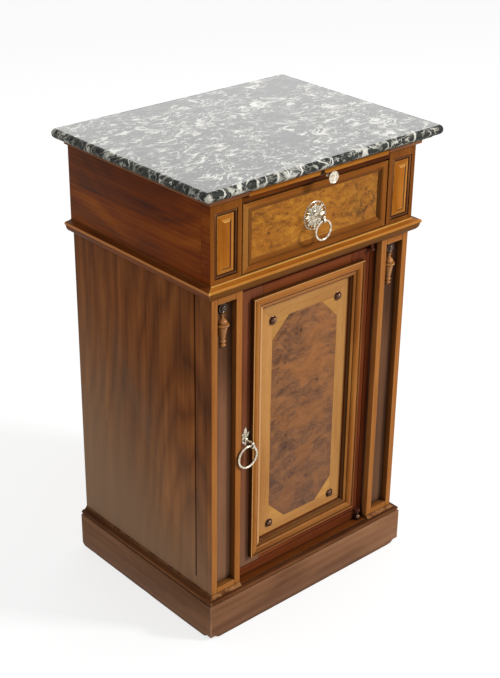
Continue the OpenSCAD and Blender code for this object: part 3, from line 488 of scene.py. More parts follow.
TURNED_WOOD = wood("turned_wood", "Z", (116, 60, 22), (190, 124, 60), (232, 176, 104), ring=0.004,
                   figure=0.2, mottle=0.2, grime=0.95, reach=0.004, roughness=0.24, coat=0.5, specular=0.4)
PATERA_WOOD = wood("patera_wood", "Z", (36, 22, 16), (76, 54, 44), (120, 92, 74), ring=0.004, figure=0.2,
                   mottle=0.5, grime=0.9, reach=0.003, roughness=0.24, coat=0.5, specular=0.4)
SOFTWOOD = family("softwood", (156, 108, 66), (198, 150, 102), (220, 180, 134), ring=0.006, figure=0.2,
                  streaks=0.25, mottle=0.25, pores=0.08, grime=0.6, roughness=0.6)
DRAWER_BURL = burl_veneer("drawer_burl_veneer", (104, 56, 6), (168, 104, 22), (198, 134, 40),
                          (176, 106, 24), 64, 0.3, dark_side=0.02,
                          knots=((-0.096, 0.668, 0.0022), (-0.060, 0.690, 0.0018), (0.036, 0.664, 0.0026)))
DOOR_BURL = burl_veneer("door_burl_veneer", (72, 42, 26), (124, 80, 50), (160, 106, 62),
                        (172, 108, 54), 52, 0.9, low_tone=(86, 66, 60),
                        knots=((-0.010, 0.479, 0.0036), (0.030, 0.380, 0.0026), (-0.035, 0.300, 0.0030),
                               (0.012, 0.205, 0.0030)))
MARBLE = veined_marble("black_marble", 1.0, 0.26, 0.5)
MARBLE_EDGE = veined_marble("black_marble_edge", 0.1, 0.55, 0.06, bold=0.3, roughness=0.45)
SILVERED = bright_metal("silvered_brass", (236, 228, 210), (186, 174, 150), (46, 30, 16))
BROWNED = dark_metal("browned_iron", (132, 98, 76), (66, 44, 32), 0.3)
PAINTED_IRON = dark_metal("painted_iron", (112, 58, 40), (78, 38, 24), 0.5, metallic=0.0)


# ---------- making meshes ----------

def arc(cx, cy, r, a0, a1, n=20):
    """Points on an arc, from angle a0 to angle a1 in degrees."""
    return [(cx + r * math.cos(math.radians(a0 + (a1 - a0) * i / n)),
             cy + r * math.sin(math.radians(a0 + (a1 - a0) * i / n))) for i in range(n + 1)]


def in_metres(points):
    return [(u * MM, v * MM) for u, v in points]


def round_angles(steps):
    """Even angles round a full turn."""
    return [2 * math.pi * i / steps for i in range(steps)]


def bridge(bm, a, b):
    """The faces between two rings of points."""
    after = [(i + 1) % len(a) for i in range(len(a))]
    return [bm.faces.new((a[i], a[j], b[j], b[i])) for i, j in enumerate(after)]


def skin(bm, rings):
    """A closed skin over rings of points, with a face at each end."""
    for a, b in zip(rings, rings[1:]):
        bridge(bm, a, b)
    bm.faces.new(rings[0])
    bm.faces.new(rings[-1])


def skin_round(bm, loops):
    """A closed skin over loops of points that come round to the first again."""
    for a, b in zip(loops, loops[1:] + loops[:1]):
        bridge(bm, a, b)


def number_strips(bm, seed):
    """Gives each separate strip its own number and the wood whose grain runs along it."""
    own = bm.faces.layers.float.new("strip")
    bm.faces.ensure_lookup_table()
    for face in bm.faces:
        face.tag = False
    chance = random.Random(seed)
    for first in bm.faces:
        if first.tag:
            continue
        first.tag = True
        todo, strip = [first], []
        while todo:
            face = todo.pop()
            strip.append(face)
            for edge in face.edges:
                for other in edge.link_faces:
                    if not other.tag:
                        other.tag = True
                        todo.append(other)
        points = [v.co for face in strip for v in face.verts]
        size = [max(p[i] for p in points) - min(p[i] for p in points) for i in range(3)]
        number = chance.random()
        for face in strip:
            face[own] = number
            face.material_index = size.index(max(size))


def object_from(bm, name, materials, sharp=CREASE):
    """A smooth-shaded object from a bmesh, with edges kept sharp from an angle in degrees."""
    for face in bm.faces:
        face.smooth = True
    mesh = bpy.data.meshes.new(name)
    bm.to_mesh(mesh)
    bm.free()
    mesh.set_sharp_from_angle(angle=math.radians(sharp))
    for material in materials:
        mesh.materials.append(material)
    return new_object(name, mesh)


def make_piece(bm, name, finishes, grain=None, sharp=CREASE):
    """A closed, outward-facing piece from a bmesh, each strip of wood with its own number and grain."""
    bmesh.ops.remove_doubles(bm, verts=bm.verts, dist=1e-6)
    bmesh.ops.recalc_face_normals(bm, faces=bm.faces)
    if len(finishes) > 1:
        number_strips(bm, name)
        if grain:
            for face in bm.faces:
                face.material_index = "XYZ".index(grain)
    return object_from(bm, name, finishes, sharp)


def settle(piece):
    """Turns the modifiers' result into the piece's plain mesh."""
    bpy.context.view_layer.update()
    seen = piece.evaluated_get(bpy.context.evaluated_depsgraph_get())
    mesh = bpy.data.meshes.new_from_object(seen)
    piece.modifiers.clear()
    piece.data = mesh
    return piece


def soften(piece, ease, steps=2):
    """Rounds the piece's arrises."""
    bevel = piece.modifiers.new("soft arrises", "BEVEL")
    bevel.width, bevel.segments = ease, steps
    bevel.limit_method, bevel.angle_limit = "ANGLE", math.radians(CREASE)
    bevel.harden_normals = True
    return settle(piece)


def paint_shade_and_wear(piece, amount):
    """Paints shade, pale wear and highlights on the piece's faces.

    amount(centre, normal) is from 0 to 1 where shade is painted, and below 0 for pale wear and painted highlights."""
    layer = piece.data.attributes.get("shade_and_wear") or piece.data.attributes.new("shade_and_wear", "FLOAT", "FACE")
    for face, value in zip(piece.data.polygons, layer.data):
        value.value = amount(face.center, face.normal)


def eased(node, finishes, slot, ease=0.6, grain=None, flank=None, face_shading=None):
    """A node's own solid with softened arrises, standing in for it.

    Its outer side may have a finish of its own, and its faces may take painted shade, pale wear and painted
    highlights."""
    bm = bmesh.new()
    bm.from_mesh(NODES[node].data)
    bmesh.ops.remove_doubles(bm, verts=bm.verts, dist=1e-5)
    bmesh.ops.dissolve_limit(bm, angle_limit=math.radians(0.5), verts=bm.verts, edges=bm.edges)
    piece = make_piece(bm, node + "_finished", finishes, grain)
    if flank:
        low, high = span(node)
        edge, outward = (low.x, -1) if low.x + high.x < 0 else (high.x, 1)
        piece.data.materials.append(flank)
        for face in piece.data.polygons:
            if face.normal.x * outward > 0.9 and abs(face.center.x - edge) < 0.5 * MM:
                face.material_index = len(finishes)
    if face_shading:
        paint_shade_and_wear(piece, face_shading)
    soften(piece, ease * MM)
    return stand_for(piece, slot, node)


def add_strip(bm, section, start, along, across, rise, length, mitres=(0, 0), steps=1, lift=None,
              shading=None):
    """A strip of wood with a section of (across, rise) points, its ends cut to mitres.

    The last argument, given (across, rise), is how much painted shade the face at that place of the section takes,
    and below 0 how much pale wear and painted highlight."""
    shade_and_wear = bm.faces.layers.float.get("shade_and_wear") or bm.faces.layers.float.new("shade_and_wear")
    rings = []
    for k in range(steps + 1):
        ring = []
        for u, v in section:
            first = u * mitres[0] + HAIR
            last = length - u * mitres[1] - HAIR
            s = first + (last - first) * k / steps
            point = start + along * s + across * u + rise * v
            if lift:
                point += lift(s, u, v)
            ring.append(bm.verts.new(point))
        rings.append(ring)
    edges = list(zip(section, section[1:] + section[:1]))
    for a, b in zip(rings, rings[1:]):
        for face, (near, far) in zip(bridge(bm, a, b), edges):
            if shading:
                face[shade_and_wear] = shading((near[0] + far[0]) / 2 / MM, (near[1] + far[1]) / 2 / MM)
    bm.faces.new(rings[0])
    bm.faces.new(rings[-1])


def add_lathe(bm, outline, place, axis, steps=48):
    """A turned solid: outline of (radius, distance along the axis) points."""
    side = axis.orthogonal().normalized()
    other = axis.cross(side)
    rings = []
    for radius, along in outline:
        centre = place + axis * along
        if radius < 1e-7:
            rings.append([bm.verts.new(centre)])
            continue
        rings.append([bm.verts.new(centre + (side * math.cos(a) + other * math.sin(a)) * radius)
                      for a in round_angles(steps)])
    for a, b in zip(rings, rings[1:]):
        if len(a) > 1 and len(b) > 1:
            bridge(bm, a, b)
            continue
        for i in range(steps):
            j = (i + 1) % steps
            if len(b) > 1:
                bm.faces.new((a[0], b[i], b[j]))
            elif len(a) > 1:
                bm.faces.new((a[i], a[j], b[0]))
    for end in (rings[0], rings[-1]):
        if len(end) > 1:
            bm.faces.new(end)


def add_ring(bm, centre, radius, wire, normal, steps=96, sides=24, wave=0.0):
    """A round ring of round wire."""
    side = normal.orthogonal().normalized()
    other = normal.cross(side)
    loops = []
    for a in round_angles(steps):
        out = side * math.cos(a) + other * math.sin(a)
        thick = wire / 2 * (1 + wave * math.sin(3 * a))
        loops.append([bm.verts.new(centre + out * (radius + thick * math.cos(b))
                                   + normal * thick * math.sin(b)) for b in round_angles(sides)])
    skin_round(bm, loops)


def add_band(bm, centre, section, steps, rim=None):
    """A flat band that lies on the front: a section of (radius, distance to the front) points, swept round.

    rim(angle), if there is one, is the radius of the points that the section gives as a share of it."""
    loops = []
    for a in round_angles(steps):
        out = Vector((math.cos(a), 0, math.sin(a)))
        points = section(rim(a)) if rim else section
        loops.append([bm.verts.new(centre + out * u - Y * v) for u, v in points])
    skin_round(bm, loops)


def add_leaf(bm, root, along, out, length, width, thick, curl=0.0, serrations=5, steps=22, sides=10):
    """A domed leaf with a sunk midrib and a scalloped edge, flat at its back."""
    across = along.cross(out)
    top, bottom = [], []
    for i in range(steps + 1):
        t = i / steps
        shape = math.sin(math.pi * min(1, t ** 0.8)) ** 0.7 if 0 < t < 1 else 0
        half = width / 2 * shape * (1 + 0.14 * math.sin(2 * math.pi * serrations * t))
        upper, lower = [], []
        for j in range(sides + 1):
            s = 2 * j / sides - 1
            dome = (1 - s * s) ** 0.6 * (0.35 + 0.65 * shape) - 0.38 * math.exp(-(s / 0.16) ** 2) * shape
            height = thick * max(0.06, dome) + curl * t * t
            point = root + along * (length * t) + across * (half * s)
            upper.append(bm.verts.new(point + out * height))
            lower.append(bm.verts.new(point))
        top.append(upper)
        bottom.append(lower)
    for i in range(steps):
        for j in range(sides):
            bm.faces.new((top[i][j], top[i][j + 1], top[i + 1][j + 1], top[i + 1][j]))
            bm.faces.new((bottom[i][j], bottom[i + 1][j], bottom[i + 1][j + 1], bottom[i][j + 1]))
        for j in (0, sides):
            bm.faces.new((top[i][j], top[i + 1][j], bottom[i + 1][j], bottom[i][j]))
    for i in (0, steps):
        for j in range(sides):
            bm.faces.new((top[i][j], top[i][j + 1], bottom[i][j + 1], bottom[i][j]))


# ---------- Geometry Nodes trees ----------

class Tree:
    """A Geometry Nodes tree with named inputs, and the modifier that runs it."""

    def __init__(self, name, **inputs):
        self.group = bpy.data.node_groups.new(name, "GeometryNodeTree")
        self.group.interface.new_socket("Geometry", in_out="OUTPUT", socket_type="NodeSocketGeometry")
        kinds = {float: "Float", int: "Int", bpy.types.Object: "Object", bpy.types.Material: "Material"}
        self.settings = {}  # the inputs' values by the names the modifier knows them by
        for key, value in inputs.items():
            socket = self.group.interface.new_socket(key, in_out="INPUT",
                                                     socket_type="NodeSocket" + kinds[type(value)])
            self.settings[socket.identifier] = value
        self.value = self.group.nodes.new("NodeGroupInput").outputs

    def node(self, kind, settings=None, **values):
        made = self.group.nodes.new(kind)
        for key, value in (settings or {}).items():
            setattr(made, key, value)
        for key, value in values.items():
            self.put(made.inputs[key.replace("_", " ")], value)
        return made

    def put(self, socket, value):
        if isinstance(value, bpy.types.NodeSocket):
            self.group.links.new(value, socket)
        else:
            socket.default_value = value

    def math(self, operation, a, b):
        made = self.node("ShaderNodeMath", {"operation": operation})
        self.put(made.inputs[0], a)
        self.put(made.inputs[1], b)
        return made.outputs[0]

    def turn(self, angle):
        """A rotation about Z."""
        angles = self.node("ShaderNodeCombineXYZ", Z=angle)
        return self.node("FunctionNodeEulerToRotation", Euler=angles.outputs[0]).outputs[0]

    def copies(self, points, **more):
        """Copies of the Part input on points."""
        part = self.node("GeometryNodeObjectInfo", Object=self.value["Part"])
        return self.node("GeometryNodeInstanceOnPoints", Points=points,
                         Instance=part.outputs["Geometry"], **more).outputs[0]

    def close(self, geometry):
        real = self.node("GeometryNodeRealizeInstances", Geometry=geometry)
        finish = self.node("GeometryNodeSetMaterial", Geometry=real.outputs[0], Material=self.value["Finish"])
        self.put(self.group.nodes.new("NodeGroupOutput").inputs[0], finish.outputs[0])

    def run(self, name, place):
        """The tree's result as a plain piece, its place in its mesh."""
        piece = new_object(name, bpy.data.meshes.new(name))
        modifier = piece.modifiers.new("tree", "NODES")
        modifier.node_group = self.group
        for identifier, value in self.settings.items():
            modifier[identifier] = value
        settle(piece)
        piece.data.transform(place)
        for polygon in piece.data.polygons:
            polygon.use_smooth = True
        piece.data.set_sharp_from_angle(angle=math.radians(CREASE))
        return piece


def turned_from_outline(name, outline, height, radius, finish, steps=150, sides=48):
    """A turning: a line whose width follows an outline of (share of height, share of radius)."""
    tree = Tree(name, Height=height, Radius=radius, Finish=finish)
    top = tree.node("ShaderNodeCombineXYZ", Z=tree.value["Height"])
    line = tree.node("GeometryNodeCurvePrimitiveLine", End=top.outputs[0])
    fine = tree.node("GeometryNodeResampleCurve", Curve=line.outputs[0], Count=steps)
    share = tree.node("GeometryNodeSplineParameter")
    curve = tree.node("ShaderNodeFloatCurve", Value=share.outputs["Factor"])
    points = curve.mapping.curves[0].points
    while len(points) > 2:
        points.remove(points[1])
    points[0].location, points[1].location = outline[0], outline[-1]
    for place, width in outline[1:-1]:
        points.new(place, width)
    curve.mapping.update()
    width = tree.math("MULTIPLY", curve.outputs[0], tree.value["Radius"])
    round_section = tree.node("GeometryNodeCurvePrimitiveCircle", Resolution=sides, Radius=1.0)
    solid = tree.node("GeometryNodeCurveToMesh", Curve=fine.outputs[0],
                      Profile_Curve=round_section.outputs[0], Scale=width, Fill_Caps=True)
    tree.close(solid.outputs[0])
    return tree


def copies_in_a_ring(name, part, count, radius, turn, finish):
    """Copies of a part set round a circle, each turned to face outwards along its radius."""
    tree = Tree(name, Part=part, Copies=count, Radius=radius, Turn=turn, Finish=finish)
    circle = tree.node("GeometryNodeMeshCircle", Vertices=tree.value["Copies"], Radius=tree.value["Radius"])
    step = tree.math("DIVIDE", 2 * math.pi, tree.value["Copies"])
    angle = tree.math("MULTIPLY", tree.node("GeometryNodeInputIndex").outputs[0], step)
    placed = tree.copies(circle.outputs[0], Rotation=tree.turn(angle))
    laid = tree.node("GeometryNodeRotateInstances", Instances=placed, Rotation=tree.turn(tree.value["Turn"]),
                     Local_Space=False)
    tree.close(laid.outputs[0])
    return tree


def join(pieces, name):
    """One piece from several."""
    bm = bmesh.new()
    materials = []
    for piece in pieces:
        for material in piece.data.materials:
            if material not in materials:
                materials.append(material)
        start = len(bm.faces)
        bm.from_mesh(piece.data)
        bm.faces.ensure_lookup_table()
        for face in bm.faces[start:]:
            face.material_index = materials.index(piece.data.materials[face.material_index])
        bpy.data.objects.remove(piece)
    return object_from(bm, name, materials)


def facing_front(place):
    """A turn that takes flat work in XY, face up, to the front: its up becomes -Y."""
    return Matrix.Translation(place) @ Matrix.Rotation(math.radians(90), 4, "X")


# ---------- marble ----------

def slab_edge_height(place):
    """Small unevenness of the polished edge."""
    return (noise.noise(place * 60) + 0.5 * noise.noise(place * 170)) * 0.25 * MM


def marble_top():
    """The slab as one sheet of rings from its middle out over the rounded edge and back under."""
    low, high = SLAB_LOW, SLAB_HIGH
    corner, edge_h, set_back = 9 * MM, 14.5 * MM, 14 * MM
    corner_steps, side_steps = 8, 24
    edge_z = high.z - edge_h
    section = [(0.22, high.z), (0.07, high.z), (0.02, high.z)]
    section += [(edge_h / 2 * (1 - math.sin(a)), edge_z + edge_h / 2 * (1 + math.cos(a)))
                for a in (math.pi * i / 26 for i in range(27))]
    section += [(set_back - 2.5 * MM, edge_z), (set_back - 1 * MM, edge_z - 0.6 * MM),
                (set_back, edge_z - 2 * MM), (set_back, low.z + 0.6 * MM),
                (set_back + 0.6 * MM, low.z), (0.02, low.z), (0.07, low.z), (0.15, low.z)]
    bm = bmesh.new()
    rings = []
    for inset, z in section:
        ring = []
        in_x, in_y = min(inset, (high.x - low.x) / 2 - 0.01), min(inset, (high.y - low.y) / 2 - 0.01)
        r = max(corner - inset, 0.5 * MM)
        back = min(inset, 1 * MM) if z < edge_z else in_y
        x0, x1, y0, y1 = low.x + in_x, high.x - in_x, low.y + in_y, high.y - back
        for x, y, start in ((x1 - r, y0 + r, -90), (x1 - r, y1 - r, 0), (x0 + r, y1 - r, 90),
                            (x0 + r, y0 + r, 180)):
            ring += arc(x, y, r, start, start + 90, corner_steps)
        # points along the four sides
        full = []
        for i, (x, y) in enumerate(ring):
            full.append((x, y))
            if i % (corner_steps + 1) == corner_steps:
                next_x, next_y = ring[(i + 1) % len(ring)]
                full += [(x + (next_x - x) * k / side_steps, y + (next_y - y) * k / side_steps)
                         for k in range(1, side_steps)]
        centre = Vector(((low.x + high.x) / 2, (low.y + high.y) / 2, 0))
        points = []
        for x, y in full:
            place = Vector((x, y, z))
            inward = (centre - place).normalized()
            inward.z = 0
            on_edge = inset < corner and z > edge_z + 1 * MM
            worn = 0.3 * MM + slab_edge_height(place) if on_edge else 0
            points.append(bm.verts.new(place + inward * max(0, worn)))
        rings.append(points)
    skin(bm, rings)
    slab = make_piece(bm, "marble_slab", [MARBLE])
    slab.data.materials.append(MARBLE_EDGE)
    for face in slab.data.polygons:
        polished_top = face.normal.z > 0.9995 and face.center.z > edge_z
        face.material_index = 0 if polished_top else 1
    stand_for(slab, "black_marble", "marble_top")


# ---------- mouldings round the case ----------

def add_case_moulding(bm, section, left, right, front, back, front_share=1.0, lift=None, steps=1,
                      front_shading=None, side_held=None):
    """A moulding along the front and both sides, mitred at the front corners."""
    squeezed = [(u * front_share, v) for u, v in section]
    add_strip(bm, squeezed, Vector((left, front, 0)), X, -Y, Z, right - left,
              (-1 / front_share, -1 / front_share), steps, lift, front_shading)
    add_strip(bm, section, Vector((left, front, 0)), Y, -X, Z, back - front,
              (-front_share, 0), steps, lift, side_held)
    add_strip(bm, section, Vector((right, front, 0)), Y, X, Z, back - front,
              (-front_share, 0), steps, lift, side_held)


def waist_moulding():
    """A fillet, a deep cove, a round nose and a slope up to the drawer, along the front and both sides."""
    low, high = span("waist_moulding")
    side_low, _ = span("lower_side_left")
    frame_low, _ = span("pilaster_frame_left")
    _, right_high = span("lower_side_right")
    out = (side_low.x - low.x) / MM
    front_share = (frame_low.y - low.y) / (side_low.x - low.x)
    z0, z1 = low.z / MM, high.z / MM
    foot = [(0, z0), (1.6, z0), (2.0, z0 + 1.0), (2.8, z0 + 1.6)]
    cove = arc(2.2, z0 + 13.4, 11.8, -84, -8, 16)
    nose = arc(out - 2.6, z0 + 17.4, 2.6, -70, 92, 16)
    top = [(9.5, z0 + 20.4), (4.2, z1 - 1.6), (3.65, z1), (0, z1)]
    section = in_metres(foot + cove + nose + top)

    def rubbed(s, u, v):
        """The nose is a little uneven from years of knocks."""
        if u < (out - 6) * MM:
            return Vector((0, 0, 0))
        return Vector((0, 0, 0.35 * MM * noise.noise(Vector((s * 28, u * 40, 3.3)))))

    def front_shading(u, v):
        """Painted shade in the cove, and pale painted highlights and wear on the foot, the nose and the line along
        the drawer.
        """
        if v < z0 + 1.7 or v > z1 - 1.7:
            return -0.8
        return 0.75 if v < z0 + 14.9 else -0.18 if v < z0 + 19.9 else 0.1

    def side_held(u, v):
        """Painted shade above and under the rubbed nose, which takes a pale painted highlight."""
        if v < z0 + 1.7:
            return -0.5
        return 0.2 if v < z0 + 13.9 else -0.85 if v < z0 + 19.4 else 0.45

    bm = bmesh.new()
    add_case_moulding(bm, section, side_low.x, right_high.x, frame_low.y, high.y, front_share, rubbed, 60,
                      front_shading, side_held)
    piece = make_piece(bm, "waist_moulding_finished", GOLDEN_WOOD)

    def on_a_side(centre):
        """Beyond a side of the case and behind the mitre at its front corner."""
        beyond = max(side_low.x - centre.x, centre.x - right_high.x)
        return beyond > 0 and centre.y > frame_low.y - beyond * front_share

    refinish(piece, NOSE_WOOD[1], on_a_side)
    stand_for(piece, "orange_wood", "waist_moulding")


def plinth_moulding():
    """A bead with a cove above it; in front of the door there is only the bead."""
    low, high = span("plinth_moulding")
    side_low, _ = span("lower_side_left")
    _, right_high = span("lower_side_right")
    frame_low, _ = span("pilaster_frame_left")
    bay_left = span("surround_stiles")[0].x
    out = (side_low.x - low.x) / MM
    z0, z1 = low.z / MM, high.z / MM
    top = span("base_board")[1].z / MM
    bead_r = (top - z0 - 1.2) / 2
    cove_r = z1 - top
    bead = [(0, z0), (out - 1.6, z0), (out - 1.6, z0 + 1.0)]
    bead += arc(out - bead_r, z0 + 1.2 + bead_r, bead_r, -75, 100, 16) + [(cove_r + 1.2, top)]
    cove = [(cove_r + 1, top + 0.3)] + arc(cove_r + 1, z1, cove_r, 268, 180, 12)

    def darker_on_ledge(u, v):
        """Darker on the ledge and in the cove above it."""
        return 0.55 if v > top - 1.2 else 0.15

    bm = bmesh.new()
    left_corner, right_corner = Vector((side_low.x, frame_low.y, 0)), Vector((right_high.x, frame_low.y, 0))
    section = in_metres(bead + cove + [(0, z1)])
    for corner, outward in ((left_corner, -X), (right_corner, X)):
        add_strip(bm, section, corner, Y, outward, Z, high.y - frame_low.y, (-1, 0), 40, shading=darker_on_ledge)
    section = in_metres(bead + [(0, top)])
    add_strip(bm, section, left_corner, X, -Y, Z, right_high.x - side_low.x, (-1, -1), 40, shading=darker_on_ledge)
    cove = in_metres([(HAIR / MM, top + HAIR / MM)] + cove)
    width = bay_left - side_low.x
    add_strip(bm, cove, left_corner, X, -Y, Z, width, (-1, 0))
    add_strip(bm, cove, Vector((right_high.x - width, frame_low.y, 0)), X, -Y, Z, width, (0, -1))
    stand_for(make_piece(bm, "plinth_moulding_finished", BEAD_WOOD), "walnut", "plinth_moulding")


def worn_foot(length, reach=9 * MM, seed=1.0):
    """How far a plinth board's lower edge is worn away, along its length."""
    def lift(s, u, v):
        end = min(s, length - s)
        rise = 0.0
        if end < reach:
            rise = (reach - math.sqrt(max(0, reach ** 2 - (reach - end) ** 2))) * 0.55
        rough = max(0.0, noise.noise(Vector((s * 16, seed, 0.5))) - 0.1) * 1.6 * MM
        rough += max(0.0, noise.noise(Vector((s * 55, seed, 2.5))) - 0.2) * 0.8 * MM
        return Vector((0, 0, (rise + rough) * (1 if v < 5 * MM else 0)))
    return lift


def plinth_boards():
    """The front and side boards, their lower edges and corners worn away."""
    low, high = span("plinth_front")
    frame_low, _ = span("pilaster_frame_left")
    out = frame_low.y - low.y
    left, right = low.x + out, high.x - out
    tall = high.z
    board = [(0, 0), (out - 1.5 * MM, 0), (out - 0.4 * MM, 0.4 * MM), (out, 1.6 * MM),
             (out, tall - 1.2 * MM), (out - 0.4 * MM, tall - 0.3 * MM), (out - 1.2 * MM, tall), (0, tall)]
    bm = bmesh.new()
    add_strip(bm, board, Vector((left, frame_low.y, 0)), X, -Y, Z, right - left, (-1, -1), 140,
              worn_foot(right - left, seed=4.0))
    stand_for(make_piece(bm, "plinth_front_board", PLINTH_WOOD), "walnut", "plinth_front")
    back = span("plinth_sides")[1].y
    bm = bmesh.new()
    for x, outward, seed in ((left, -X, 7.0), (right, X, 9.0)):
        add_strip(bm, board, Vector((x, frame_low.y, 0)), Y, outward, Z, back - frame_low.y, (-1, 0), 120,
                  worn_foot(back - frame_low.y, seed=seed))
    stand_for(make_piece(bm, "plinth_side_boards", PLINTH_WOOD), "walnut", "plinth_sides")


def cornice_moulding():
    """A nose and a cove up to the marble, along the sides and round on to the two corner blocks."""
    low, high = span("cornice_moulding")
    upper_low, _ = span("upper_side_left")
    block_low, _ = span("corner_block_left")
    _, right_high = span("upper_side_right")
    opening = span("slide_lipping")[0].x - 0.5 * MM
    out = (upper_low.x - low.x) / MM
    z0, z1 = low.z / MM, high.z / MM
    lip, nose_r = 6.35, 1.4
    lip_top = z1 - (out - lip)
    section = [(0, z0)] + arc(lip - nose_r, z0 + nose_r, nose_r, -90, 40, 10) + [(lip - 0.5, lip_top)]
    section += arc(out, lip_top, out - lip, 176, 90, 14) + [(0, z1)]
    section = in_metres(section)
    bm = bmesh.new()
    front = block_low.y
    for x, outward, along in ((upper_low.x, -X, X), (right_high.x, X, -X)):
        add_strip(bm, section, Vector((x, front, 0)), Y, outward, Z, high.y - front, (-1, 0))
        add_strip(bm, section, Vector((x, front, 0)), along, -Y, Z, opening - upper_low.x, (-1, 0))
    stand_for(make_piece(bm, "cornice_moulding_finished", CORNICE_WOOD), "walnut", "cornice_moulding")


# ---------- framed work ----------

def add_frame_strips(bm, section, low, high, face_y, shading=None):
    """Four mitred strips inside the rectangle from low to high, the section's rise towards -Y."""
    w, h = high.x - low.x, high.z - low.z
    for member, corner, along, across, length in (("foot", (low.x, face_y, low.z), X, Z, w),
                                                  ("head", (low.x, face_y, high.z), X, -Z, w),
                                                  ("left", (low.x, face_y, low.z), Z, X, h),
                                                  ("right", (high.x, face_y, low.z), Z, -X, h)):
        add_strip(bm, section, Vector(corner), along, across, -Y, length, (1, 1), 24,
                  shading=shading and partial(shading, member))


def frame_shading(wide, share, band, slope, u, v):
    """Painted shade on the drawer frame's outer band and slope, deepest on the right member's slope, and a pale
    painted highlight on the left member's band.
    """
    return slope if u > wide - 5.6 else band if u < wide - 8.6 * share else 0.35


def drawer_frame():
    """The drawer's mitred frame: a flat outer band, a fine bead and a slope down to the sunk burl."""
    low, high = span("drawer_frame")
    burl_low, burl_high = span("drawer_burl")
    tall = (high.y - low.y) / MM
    sunk = (burl_low.y - low.y) / MM
    end, foot, head = burl_low.x - low.x, burl_low.z - low.z, high.z - burl_high.z
    bm = bmesh.new()
    w, h = high.x - low.x, high.z - low.z
    # each member's painted shade, on its outer band and on its slope
    for corner, along, across, length, wide, start, last, band_shade, slope_shade in (
            ((low.x, high.y, low.z), X, Z, w, foot, end, end, 0.05, 0.15),
            ((low.x, high.y, high.z), X, -Z, w, head, end, end, 0.0, 0.3),
            ((low.x, high.y, low.z), Z, X, h, end, foot, head, -0.3, 0.3),
            ((high.x, high.y, low.z), Z, -X, h, end, foot, head, 0.0, 0.85)):
        wide_mm = wide / MM
        share = wide_mm / 19
        section = [(0, 0), (0, tall - 0.5), (0.5, tall)]
        section += [(wide_mm - 8.6 * share, tall), (wide_mm - 8.3 * share, tall - 0.5),
                    (wide_mm - 8 * share, tall - 0.5)]
        section += arc(wide_mm - 7 * share, tall - 0.6, 0.9 * share, 170, 20, 8)
        section += [(wide_mm - 5.6 * share, tall - 0.9), (wide_mm - 0.6, tall - sunk + 0.5),
                    (wide_mm, tall - sunk + 0.1), (wide_mm, 0)]
        add_strip(bm, in_metres(section), Vector(corner), along, across, -Y, length,
                  (start / wide, last / wide), 24,
                  shading=partial(frame_shading, wide_mm, share, band_shade, slope_shade))
    stand_for(make_piece(bm, "drawer_frame_finished", BLOCK_WOOD, sharp=14), "orange_wood", "drawer_frame")


def panel_shading(ledge, half_way, centre, normal):
    """Painted shade in a dark line right of the field and on the lower bevel, pale lines above and under it of
    wear and painted highlight, and a tan outer half on the right.
    """
    if abs(normal.y) > 0.999:
        return 0.08
    if centre.y < ledge:
        return 1.0 if normal.x > 0.1 else -1.0 if abs(normal.z) > 0.1 else 0.1
    inner = centre.y < half_way
    if normal.x > 0.1:
        return 1.0 if inner else -0.15
    if normal.z > 0.1:
        return -0.35 if inner else 0.1
    if normal.z < -0.1:
        return 0.5 if inner else -0.25
    return 0.0


def block_panels():
    """The raised and fielded panels of the corner blocks, their bevels mitred."""
    edge, bevel = 1.8 * MM, 10 * MM
    for side in ("left", "right"):
        low, high = span("block_panel_" + side)
        bm = bmesh.new()
        rings = []
        foot_y, head_y = high.y - edge, low.y + 0.25 * MM
        for inset, y in ((0, high.y), (0, foot_y), (bevel * 0.6, foot_y + (head_y - foot_y) * 0.62),
                         (bevel - 0.3 * MM, head_y), (bevel + 0.4 * MM, low.y)):
            x0, x1, z0, z1 = low.x + inset, high.x - inset, low.z + inset, high.z - inset
            rings.append([bm.verts.new((x, y, z)) for x, z in ((x0, z0), (x1, z0), (x1, z1), (x0, z1))])
        skin(bm, rings)
        piece = make_piece(bm, "block_panel_%s_finished" % side, GOLDEN_WOOD, "Z", sharp=6)
        for face, own in zip(piece.data.polygons, piece.data.attributes["strip"].data):
            if abs(face.normal.z) > 0.1:
                face.material_index = 0
                own.value = (own.value + 0.37) % 1
        paint_shade_and_wear(piece, partial(panel_shading, low.y + 0.2 * MM, (foot_y + head_y) / 2))
        soften(piece, 0.25 * MM)
        stand_for(piece, "orange_wood", "block_panel_" + side)


# painted light and shade on each member of the door's raised moulding, by the part of its section: shade above 0,
# pale highlight below 0
RAISED_SHADING = {"arris": {"left": -0.45, "head": -0.45, "right": 0.45, "foot": -0.2},
                 "groove": {"left": 0.85, "head": 0.85, "right": 0.3, "foot": 0.7},
                 "bead": {"left": 0.0, "head": 0.0, "right": 0.05, "foot": 0.3},
                 "quirk": {"left": 0.9, "head": 0.9, "right": 0.9, "foot": 0.9},
                 "fillet": {"left": -0.7, "head": -0.1, "right": 0.2, "foot": 0.7},
                 "cove": {"left": 0.3, "head": 0.5, "right": 1.0, "foot": 0.85}}


def raised_shading(member, u, v):
    """Painted light and shade across the raised moulding, from its outer wall in painted shadow to its inner cove.
    """
    if u < 0.1:
        return 0.9
    for edge, part in ((2.0, "arris"), (3.35, "groove"), (14.3, "bead"), (15.5, "quirk"), (20.5, "fillet")):
        if u < edge:
            return RAISED_SHADING[part][member]
    return RAISED_SHADING["cove"][member]


